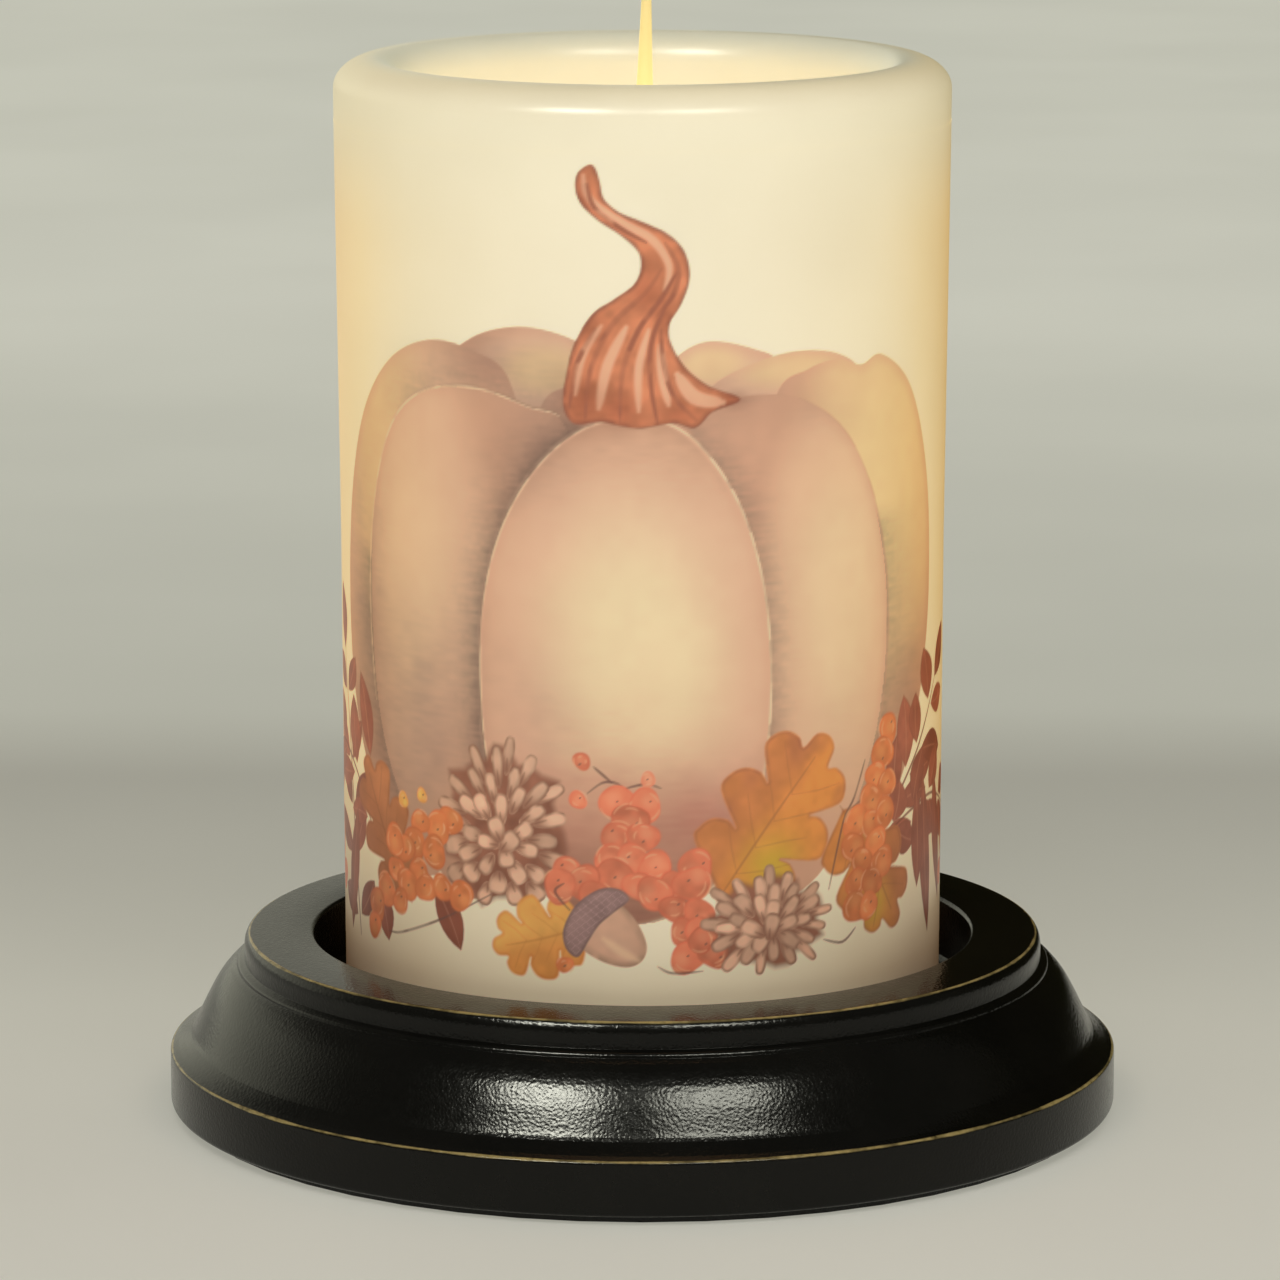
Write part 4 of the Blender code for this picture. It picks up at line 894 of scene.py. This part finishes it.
def oak_leaf(canvas, base, tip, width, colour, edge, lobes=3, seed=1, tinge=None, tinge_at=0.2):
    """A leaf with round lobes, a midrib and side veins; its left half is the darker one."""
    draw = np.random.default_rng(seed)
    base, tip = np.array(base, float), np.array(tip, float)
    length = np.hypot(*(tip - base))
    heading = atan2(*(tip - base)[::-1])
    sides = []
    for side in (1, -1):
        points = []
        for lobe in range(lobes):
            share = 0.24 + 0.62 * lobe / max(lobes - 1, 1)
            reach = width * (0.13 + 0.06 * sin(pi * share)) * draw.uniform(0.9, 1.12)
            centre = along(base, tip, share, side * width * (0.19 + 0.13 * sin(pi * share)))
            facing = heading + side * radians(62 - 34 * share)
            for turn in (-75, -35, 5, 45, 75):
                angle = facing - side * radians(turn)
                points.append(centre + reach * np.array((cos(angle), sin(angle))))
        sides.append(points)
    crown = []
    for turn in (0.9, 0.0, -0.9):
        crown.append(tip + width * 0.13 * np.array((cos(heading + turn), sin(heading + turn))))
    left, right = ([along(base, tip, 0.0, side * 0.4)] + points for side, points in zip((1, -1), sides))
    outline = curve(left + crown + right[::-1], steps=4)
    where, depth = canvas.fill(outline, colour, edge, 0.3, seed, soft=0.3, edge_width=0.9)
    if not depth.size:
        return
    inner = smoothstep(depth, 0, 0.4)
    across = (canvas.z[where] - base[1]) * cos(heading) - (canvas.u[where] - base[0]) * sin(heading)
    canvas.tint(where, smoothstep(across / width, -0.12, 0.2) * inner * 0.75, edge / colour)
    warm = canvas.cloud(where, 4.5, seed + 3)
    canvas.tint(where, smoothstep(warm, 0.5, 0.9) * inner * 0.45, edge / colour)
    if tinge is not None:
        spot = along(base, tip, tinge_at, -width * 0.2)
        square = (canvas.u[where] - spot[0]) ** 2 + (canvas.z[where] - spot[1]) ** 2
        near = np.exp(-square / (width * 0.22) ** 2)
        canvas.lay(where, near * inner * 0.85, tinge)
    rib = [along(base, tip, share, 0.02 * length * sin(3 * share)) for share in np.linspace(-0.05, 0.95, 12)]
    canvas.stroke(rib, 0.4, edge * 0.8, 0.6, 0.22)
    for share in np.linspace(0.15, 0.7, lobes + 1):
        for side in (1, -1):
            end = along(base, tip, share + 0.22, side * width * 0.30)
            canvas.stroke([along(base, tip, share),
                           (along(base, tip, share) + end) / 2 + draw.uniform(-0.3, 0.3, 2), end],
                          0.25, edge * 0.85, 0.45, 0.18)


def lance_leaf(canvas, base, tip, width, colour=MAROON, seed=1):
    """A slim pointed leaf."""
    shares = np.linspace(0, 1, 9)
    bow = 0.08 * width * (1 if seed % 2 else -1)
    upper = [along(base, tip, t, width / 2 * sin(pi * t) ** 0.85 + bow * sin(pi * t)) for t in shares]
    lower = [along(base, tip, t, -width / 2 * sin(pi * t) ** 0.85 + bow * sin(pi * t)) for t in shares[::-1]]
    outline = np.array(upper + lower[1:-1])
    canvas.fill(outline, colour, colour * 0.75, 0.45, seed, edge_width=0.4)
    canvas.stroke([along(base, tip, t, bow * sin(pi * t)) for t in np.linspace(0.02, 0.95, 7)],
                  0.28, MAROON_LIGHT, 0.6, 0.15)


def sprig(canvas, points, leaf_length, leaf_width, seed, colour=MAROON, pairs=6):
    """A curved twig with pairs of slim leaves and one at its end."""
    spine = curve(points, False, 8)
    canvas.stroke(spine, 0.55, MAROON * 0.7, 0.9, 0.2)
    draw = np.random.default_rng(seed)
    for pair in range(pairs):
        place = int((pair + 0.6) / (pairs + 0.2) * (len(spine) - 2))
        start, ahead = spine[place], spine[place + 1] - spine[place]
        heading = atan2(ahead[1], ahead[0])
        for side in (1, -1):
            turn = heading + side * radians(draw.uniform(34, 56))
            length = leaf_length * draw.uniform(0.8, 1.15) * (0.75 + 0.4 * sin(pi * (pair + 0.5) / pairs))
            end = start + length * np.array((cos(turn), sin(turn)))
            shade = colour * draw.uniform(0.85, 1.25)
            lance_leaf(canvas, start + 0.12 * (end - start), end, leaf_width * draw.uniform(0.85, 1.1),
                       shade, seed + 7 * pair + side)
    ahead = spine[-1] - spine[-4]
    end = spine[-1] + ahead / np.hypot(*ahead) * leaf_length
    lance_leaf(canvas, spine[-1], end, leaf_width, colour, seed + 3)


def berry(canvas, centre, radius, colour, seed):
    """A blotchy berry with a pale broken outline, a streak of light and a dark eye."""
    turn = np.linspace(0, 2 * pi, 14, endpoint=False)
    draw = np.random.default_rng(seed)
    uneven = 1 + 0.09 * np.sin(2 * turn + draw.uniform(0, 6)) + 0.06 * np.sin(3 * turn + draw.uniform(0, 6))
    outline = np.stack([centre[0] + radius * uneven * np.cos(turn),
                        centre[1] + radius * uneven * np.sin(turn)], axis=1)
    outline = curve(outline, steps=2)
    shade = np.clip(colour * draw.uniform(0.88, 1.12), 0, 1)
    where, depth = canvas.fill(outline, shade, shade * (0.9, 0.72, 0.72), 0.55, seed, soft=0.25,
                               edge_width=0.6)
    if not depth.size:
        return
    light_at = np.array(centre) + radius * draw.uniform(-0.4, 0.4, 2)
    far = np.hypot(canvas.u[where] - light_at[0], canvas.z[where] - light_at[1])
    canvas.lay(where, smoothstep(far, radius * 0.7, radius * 0.1) * 0.4, shade * (1.12, 1.6, 1.7))
    for _ in range(3):
        start = draw.uniform(0, 2 * pi)
        sweep = np.linspace(start, start + draw.uniform(0.6, 1.4), 6)
        reach = radius * draw.uniform(0.45, 1.05)
        line = np.stack([centre[0] + reach * np.cos(sweep), centre[1] + reach * np.sin(sweep)], axis=1)
        canvas.stroke(line, 0.32, BERRY_LIGHT * (1.0, 1.1, 1.15), 0.45, 0.2)
    eye = np.array(centre) + radius * draw.uniform(-0.4, 0.4, 2)
    canvas.stroke([eye, eye + (0.18, 0.12)], 0.3, TWIG, 0.75, 0.14, taper=False)


def cluster(canvas, points, radius, colour, seed, spread=0.5):
    """Berries that crowd round a line of points, the later ones on top."""
    draw = np.random.default_rng(seed)
    for index, point in enumerate(points):
        place = np.array(point, float) + draw.uniform(-spread, spread, 2)
        berry(canvas, place, radius * draw.uniform(0.82, 1.12), colour, seed + index)


def twig(canvas, points, width=0.45, colour=TWIG):
    canvas.stroke(curve(points, False, 5), width, colour, 0.85, 0.16, broken=0.25, seed=7)


def cone_scale(canvas, root, tip, width, tone, seed):
    """One scale of a cone: a pale pad in a dark outline, darker towards its root."""
    sides = ((-0.05, 0.16), (0.30, 0.42), (0.72, 0.50), (1.0, 0.28))
    pad = [along(root, tip, share, half * width) for share, half in sides]
    pad += [along(root, tip, share, -half * width) for share, half in sides[::-1]]
    where, depth = canvas.fill(curve(pad, steps=4), CONE_LIGHT * tone, CONE_DARK, 0.35, seed, soft=0.16,
                               edge_width=0.75)
    if not depth.size:
        return
    run = np.array(tip) - np.array(root)
    share = ((canvas.u[where] - root[0]) * run[0] + (canvas.z[where] - root[1]) * run[1]) / (run @ run)
    canvas.lay(where, smoothstep(share, 0.62, 0.05) * smoothstep(depth, 0.0, 0.3) * 0.85, CONE_BODY)
    canvas.stroke([along(root, tip, 0.02, 0.0), along(root, tip, 0.4, 0.08 * width)], 0.35, CONE_DARK, 0.6,
                  0.2)


def cone(canvas, centre, reach, flat, count, seed):
    """An open pine cone: round pads in its middle, long scales round them; flat 1 makes the low ones wide."""
    draw = np.random.default_rng(seed)
    turn = np.linspace(0, 2 * pi, 30, endpoint=False)
    ragged = 1 + 0.10 * np.sin(7 * turn + seed) + 0.06 * np.sin(13 * turn)
    core = np.stack([centre[0] + reach[0] * ragged * np.cos(turn),
                     centre[1] + reach[1] * ragged * np.sin(turn)], axis=1)
    canvas.fill(core, CONE_DARK * 1.5, CONE_DARK * 1.2, 0.6, seed, soft=0.9, edge_width=0.8)
    for index in reversed(range(count)):
        share = ((index + 0.5) / count) ** 0.5
        angle = GOLDEN_ANGLE * index + seed
        heading = np.array((cos(angle), sin(angle)))
        place = np.array(centre) + heading * reach * share + draw.uniform(-0.4, 0.4, 2)
        up = 0.5 + 0.5 * heading[1]
        long = (3.4 + 3.4 * up) * flat + 5.6 * (1 - flat)
        wide = (4.8 - 2.3 * up) * flat + 2.7 * (1 - flat)
        length = (4.2 * (1 - share) + long * share) * draw.uniform(0.85, 1.12)
        width = (3.5 * (1 - share) + 0.85 * wide * share) * draw.uniform(0.72, 1.0)
        heading = heading * share + np.array((0.0, 0.35 * (1 - share)))
        heading = heading / np.hypot(*heading)
        cone_scale(canvas, place - heading * length / 2, place + heading * length / 2, width,
                   draw.uniform(0.84, 1.24), seed * 60 + index)


def acorn(canvas, centre, size, tilt, seed):
    """An acorn whose cap is cross-hatched."""
    turn = radians(tilt)
    up = np.array((cos(turn), sin(turn)))
    side = np.array((-up[1], up[0]))

    def spot(forward, sideways):
        return np.array(centre) + size * (forward * up + sideways * side)

    nut = curve([spot(0.0, 0.42), spot(-0.40, 0.42), spot(-0.78, 0.24), spot(-0.90, 0.0), spot(-0.78, -0.24),
                 spot(-0.40, -0.42), spot(0.0, -0.42), spot(0.1, 0.0)], steps=5)
    canvas.fill(nut, ACORN_NUT, ACORN_NUT * 0.62, 0.25, seed, edge_width=1.6)
    canvas.stroke([spot(-0.25, 0.12), spot(-0.6, 0.10), spot(-0.85, 0.04)], 1.4,
                  np.array((0.93, 0.72, 0.62)), 0.6, 0.6)
    cap = curve([spot(-0.14, 0.60), spot(0.08, 0.62), spot(0.30, 0.42), spot(0.40, 0.0), spot(0.30, -0.42),
                 spot(0.08, -0.62), spot(-0.14, -0.60), spot(-0.10, -0.30), spot(-0.06, 0.0),
                 spot(-0.10, 0.30)], steps=5)
    where, depth = canvas.fill(cap, ACORN_CAP, ACORN_CAP * 0.6, 0.4, seed + 1, edge_width=0.9)
    if not depth.size:
        return
    u, z = canvas.u[where] - centre[0], canvas.z[where] - centre[1]
    lines = np.minimum(np.abs(np.sin((u * 0.8 + z) * 2.3)), np.abs(np.sin((u * 0.8 - z) * 2.3)))
    canvas.lay(where, smoothstep(lines, 0.35, 0.05) * smoothstep(depth, 0.2, 0.7) * 0.45,
               ACORN_NUT * (0.8, 0.85, 1.15))


def picture(canvas):
    """The whole print: a gourd standing in a garland of autumn leaves, berries, cones and an acorn."""
    pumpkin(canvas)
    sprig(canvas, ((-61, 34), (-63.5, 49), (-66, 65), (-70, 82)), 12, 5.4, 201, pairs=5)
    sprig(canvas, ((-54, 52), (-62, 62), (-71, 66), (-80, 64)), 11, 5.4, 205, pairs=4)
    sprig(canvas, ((43, 51), (50, 60), (58, 68), (66, 78)), 11, 5.6, 211, pairs=5)
    sprig(canvas, ((46, 54), (55, 57), (65, 58), (76, 54)), 11, 6.0, 215, pairs=4)
    for base, tip in (((60, 62), (63, 34)), ((57, 60), (57.5, 43)), ((66, 62), (71, 38)),
                      ((-62, 56), (-66, 34)), ((-37.5, 47), (-32, 36.6)), ((-53, 44), (-50, 35.2)),
                      ((-56, 66), (-60, 80))):
        lance_leaf(canvas, base, tip, 5.2, MAROON * 1.05, int(abs(base[0])))
    oak_leaf(canvas, (-44, 44), (-57, 64), 16, BROWN_LEAF * (1.0, 1.1, 1.2), BROWN_LEAF * 0.75, 3, 221)
    oak_leaf(canvas, (36, 60), (49, 40), 18, ORANGE_LEAF * (0.86, 0.86, 0.9), BROWN_LEAF * 0.85, 3, 222,
             GREEN_TINGE, 0.75)
    wash(canvas, (-2, 47), (18, 8), SHADOW, 0.9, 230)
    wash(canvas, (-22, 52), (14, 10), SHADOW, 0.7, 231)
    cone(canvas, (-24, 58.5), (11.0, 13.0), 1.0, 38, 3)
    oak_leaf(canvas, (13, 48), (31, 71), 23, ORANGE_LEAF, BROWN_LEAF, 3, 241, GREEN_TINGE, 0.30)
    oak_leaf(canvas, (-9, 43), (-24, 38.5), 14, YELLOW_LEAF, ORANGE_LEAF * 0.95, 3, 242)
    twig(canvas, ((-2, 58), (-3, 66), (-6, 67.5), (-9, 65.5)))
    twig(canvas, ((-3, 66.4), (0.5, 67.2), (3, 66.5)))
    twig(canvas, ((-5, 67.4), (-8, 70)))
    cluster(canvas, ((-10, 70.5), (-10.5, 64.2)), 1.7, RED_BERRY, 251)
    cluster(canvas, ((0.6, 68.0),), 1.2, RED_BERRY * (1.1, 1.4, 1.5), 255)
    cluster(canvas, ((-3.8, 64.0), (0.6, 63.2), (-1.8, 60.8), (-3.6, 57.8), (-0.2, 57.8), (-5.0, 54.4),
                     (-1.0, 54.2), (2.4, 53.2), (-4.4, 51.4), (-0.8, 50.4), (8.6, 53), (5.6, 50.6),
                     (8.4, 49.8), (-12.5, 52.5), (-9.4, 50.4), (-13.6, 49.6), (2.2, 48.6), (-8.0, 47.6)),
            2.8, RED_BERRY, 261)
    cluster(canvas, ((5.2, 45.6), (9.4, 45.0), (6.4, 42.4), (10.0, 42.0), (7.4, 37.6), (11.6, 38.0),
                     (9.6, 40.0)), 2.7, RED_BERRY, 281)
    twig(canvas, ((2.5, 36.2), (5, 35.0), (10, 35.2)))
    twig(canvas, ((-12, 45.5), (-14.5, 48.5), (-13, 50)))
    acorn(canvas, (-7.6, 43.6), 11.0, 140, 291)
    cluster(canvas, ((-12.5, 36.6),), 1.3, ORANGE_BERRY, 295)
    twig(canvas, ((-26, 47), (-36, 41.5), (-46, 37.5), (-50, 37)))
    cluster(canvas, ((-34, 59), (-37.5, 56.5), (-40.5, 58), (-42.5, 54), (-38.5, 52.5), (-44.5, 51.5),
                     (-41, 49), (-47.5, 53), (-48, 48.5), (-44.6, 46), (-39.8, 45.6), (-35.6, 46.4),
                     (-50.5, 44.4), (-47, 42.4), (-53.6, 41), (-54.6, 37.4), (-32.2, 45.6)), 2.7,
            ORANGE_BERRY, 301, 0.7)
    cluster(canvas, ((-45.5, 60.5), (-41, 62.4)), 1.4, YELLOW_LEAF, 341)
    twig(canvas, ((33, 47), (36, 58), (38.5, 62), (41, 68)))
    twig(canvas, ((37.5, 60), (42, 62.5), (47, 68)))
    cluster(canvas, ((47, 72), (45.4, 68.5), (43.6, 65.4), (46.4, 62.6), (42.4, 61), (38.6, 58),
                     (42.6, 56.8), (46.6, 57.6), (37.6, 54), (43.8, 53.8), (40.4, 51), (46, 50.2),
                     (38.4, 47.6), (43.2, 47.2), (39, 43.6), (42.8, 43)),
            2.7, ORANGE_BERRY, 321, 0.6)
    cone(canvas, (21.5, 42.8), (10.0, 7.4), 0.0, 34, 5)
    twig(canvas, ((32, 38.5), (36, 37.5), (39, 39.5)))


def side_garland(canvas, side, seed):
    """The garland's trail round one side of the sleeve, thinning towards the back."""
    sprig(canvas, ((side * 74, 44), (side * 84, 50), (side * 95, 52), (side * 106, 48)), 10, 4.2, seed,
          pairs=5)
    sprig(canvas, ((side * 78, 40), (side * 88, 38), (side * 98, 39)), 8, 3.6, seed + 20, pairs=4)
    oak_leaf(canvas, (side * 76, 42), (side * 90, 58), 15, ORANGE_LEAF, BROWN_LEAF, 4, seed + 41)
    oak_leaf(canvas, (side * 80, 44), (side * 94, 37), 12, YELLOW_LEAF, ORANGE_LEAF, 4, seed + 42)
    places = [(side * (74 + 2.6 * step), 43 + 3 * sin(1.9 * step)) for step in range(8)]
    cluster(canvas, places, 2.5, ORANGE_BERRY if side > 0 else RED_BERRY, seed + 51, 0.9)


def print_film(name, columns, rows):
    """A sheet of wax just outside the sleeve's wall that carries part of the picture."""
    canvas = Canvas(columns, rows)
    picture(canvas)
    side_garland(canvas, -1, 401)
    side_garland(canvas, 1, 501)
    turn = columns * MM / SLEEVE_RADIUS
    heights = rows * PRINT_UNIT * MM
    radius = np.array([wall_point(height)[0] for height in heights])[:, None] + PRINT_LIFT
    grid = np.stack([radius * np.sin(turn), -radius * np.cos(turn),
                     np.broadcast_to(heights[:, None], canvas.u.shape)], axis=-1)
    high, wide = canvas.u.shape
    first = (np.arange(high - 1)[:, None] * wide + np.arange(wide - 1)).reshape(-1)
    faces = np.stack([first, first + 1, first + wide + 1, first + wide], axis=1)
    mesh = bpy.data.meshes.new(name)
    mesh.vertices.add(high * wide)
    mesh.vertices.foreach_set("co", grid.astype(np.float32).reshape(-1))
    mesh.loops.add(faces.size)
    mesh.loops.foreach_set("vertex_index", faces.astype(np.int32).reshape(-1))
    mesh.polygons.add(len(faces))
    mesh.polygons.foreach_set("loop_start", np.arange(0, faces.size, 4, dtype=np.int32))
    mesh.update(calc_edges=True)
    mesh.shade_smooth()
    held_back = np.ones((high * wide, 4), np.float32)
    held_back[:, :3] = 1 - canvas.colour.reshape(-1, 3)
    mesh.attributes.new("ink", "FLOAT_COLOR", "POINT").data.foreach_set("color", held_back.reshape(-1))
    return dress(scene_object(name, mesh), WAX, "sleeve", "wax")


def printed_picture():
    """The picture in two sheets: the fine garland below, the gourd above."""
    sheets = (
        ("printed_garland", FINE_GRID, GARLAND_REACH, PRINT_LOW, PRINT_SPLIT),
        ("printed_gourd", BROAD_GRID, GOURD_REACH, PRINT_SPLIT, PRINT_HIGH),
    )
    for name, grid, reach, low, high in sheets:
        grid *= 1.0
        print_film(name, np.arange(-reach, reach + grid, grid),
                   np.linspace(low, high, round((high - low) / grid) + 1))


printed_picture()


# ---------------------------------------------------------------- stage

def floor():
    half = 30.0
    ground = mesh_object("floor", [(-half, -half, 0), (half, -half, 0), (half, half, 0), (-half, half, 0)],
                         [(0, 1, 2, 3)])
    s = Shader("floor")
    place = s.place()
    parts = s.node("SeparateXYZ", {"Vector": place})
    away = s.spread(parts.outputs["Y"], -0.2, 1.6, smooth=False)
    grain = s.spread(s.noise(place, 6.0, 3.0), 0.3, 0.7, 0.97, 1.03)
    # Painted light: the floor's lighting is its glow, dimming from the front to a dark band and brightening
    # again further back.
    lit = s.ramp(away, (
        (0.0, (0.345, 0.34, 0.29)), (0.06, (0.325, 0.32, 0.273)), (0.15, (0.29, 0.288, 0.243)),
        (0.26, (0.205, 0.203, 0.168)), (0.30, (0.30, 0.303, 0.253)), (0.374, (0.33, 0.333, 0.28)),
        (0.667, (0.455, 0.458, 0.39)), (1.0, (0.45, 0.455, 0.385))))
    lit = s.mix(1.0, lit, s.node("CombineColor", {"Red": grain, "Green": grain, "Blue": grain}).outputs[0],
                "MULTIPLY")
    ground.data.materials.append(s.finish(
        Base_Color=(0.58, 0.575, 0.55), Roughness=0.8, Specular_IOR_Level=0.0,
        Emission_Color=lit, Emission_Strength=1.0))


def softbox(name, azimuth, elevation, distance, size, watts, colour=(1.0, 0.97, 0.92), seen="diffuse"):
    """An area light aimed at the lamp for matt or glossy surfaces; azimuth 0 is in front, 90 at the right."""
    light = bpy.data.lights.new(name, "AREA")
    light.shape = "RECTANGLE"
    light.size, light.size_y = size
    light.energy = watts
    light.color = colour
    made = scene_object(name, light)
    turn, rise = radians(azimuth), radians(elevation)
    aim = Vector((0, 0, 0.06))
    away = Vector((sin(turn) * cos(rise), -cos(turn) * cos(rise), sin(rise)))
    made.location = aim + away * distance
    made.rotation_mode = "QUATERNION"
    made.rotation_quaternion = away.to_track_quat("Z", "Y")
    made.visible_diffuse = seen == "diffuse"
    made.visible_glossy = seen == "glossy"


def dark_flag():
    """A dark card behind the lamp on the right, seen only in reflections."""
    left, right, back, top = 0.012, 0.60, 0.20, 0.45
    corners = [(left, back, 0.001), (right, back - 0.08, 0.001), (right, back - 0.08, top), (left, back, top)]
    card = mesh_object("dark_flag", corners, [(0, 1, 2, 3)])
    s = Shader("dark_flag")
    shade = s.mix(s.noise(s.place(), 12.0, 3.0), (0.010, 0.012, 0.003), (0.035, 0.028, 0.008))
    card.data.materials.append(s.finish(Base_Color=shade, Roughness=0.9, Specular_IOR_Level=0.0))
    card.visible_camera = False
    card.visible_diffuse = False
    card.visible_shadow = False


def surroundings():
    """A soft pale room, seen only in reflections: brighter behind on the left."""
    world = bpy.data.worlds.new("room")
    world.use_nodes = True
    bpy.context.scene.world = world
    s = Shader("room", world.node_tree)
    direction = s.node("TexCoord").outputs["Generated"]
    parts = s.node("SeparateXYZ", {"Vector": direction})
    behind = s.ramp(s.spread(parts.outputs["X"], -0.7, 0.7, smooth=False), (
        (0.0, (1.15, 1.14, 0.90)), (0.45, (0.60, 0.59, 0.48)), (0.75, (0.07, 0.065, 0.03)),
        (1.0, (0.06, 0.055, 0.025))))
    mirrored = s.node("LightPath").outputs["Is Glossy Ray"]
    behind = s.mix(mirrored, (0.38, 0.37, 0.305), behind)
    ahead = (0.11, 0.105, 0.09)
    low = s.spread(parts.outputs["Z"], 0.65, 0.30)
    shade = s.mix(s.math("MULTIPLY", low, s.spread(parts.outputs["Y"], -0.1, 0.5)), ahead, behind)
    back = s.node("Background", {"Color": shade, "Strength": 1.0})
    s.node("OutputWorld", {"Surface": back.outputs[0]})


def camera():
    lens = bpy.data.cameras.new("camera")
    lens.lens = CAMERA_LENS
    lens.sensor_width = 36.0
    lens.shift_x = CAMERA_SHIFT
    lens.clip_start, lens.clip_end = 0.05, 100.0
    made = scene_object("camera", lens)
    made.location = CAMERA_PLACE
    made.rotation_euler = (radians(90 - CAMERA_PITCH), 0, 0)
    bpy.context.scene.camera = made


floor()
softbox("left_softbox", -12, 44, 1.2, (0.75, 0.40), 2.95, seen="diffuse")
softbox("right_softbox", 30, 44, 1.2, (0.50, 0.40), 1.2, seen="diffuse")
softbox("left_strip", -27, 38, 1.2, (0.43, 0.19), 15.6, (1.0, 1.0, 0.86), seen="glossy")
softbox("right_strip", 21, 38, 1.2, (0.48, 0.19), 8.9, (1.0, 1.0, 0.86), seen="glossy")
dark_flag()
surroundings()
camera()
bpy.context.scene.view_settings.view_transform = "Standard"
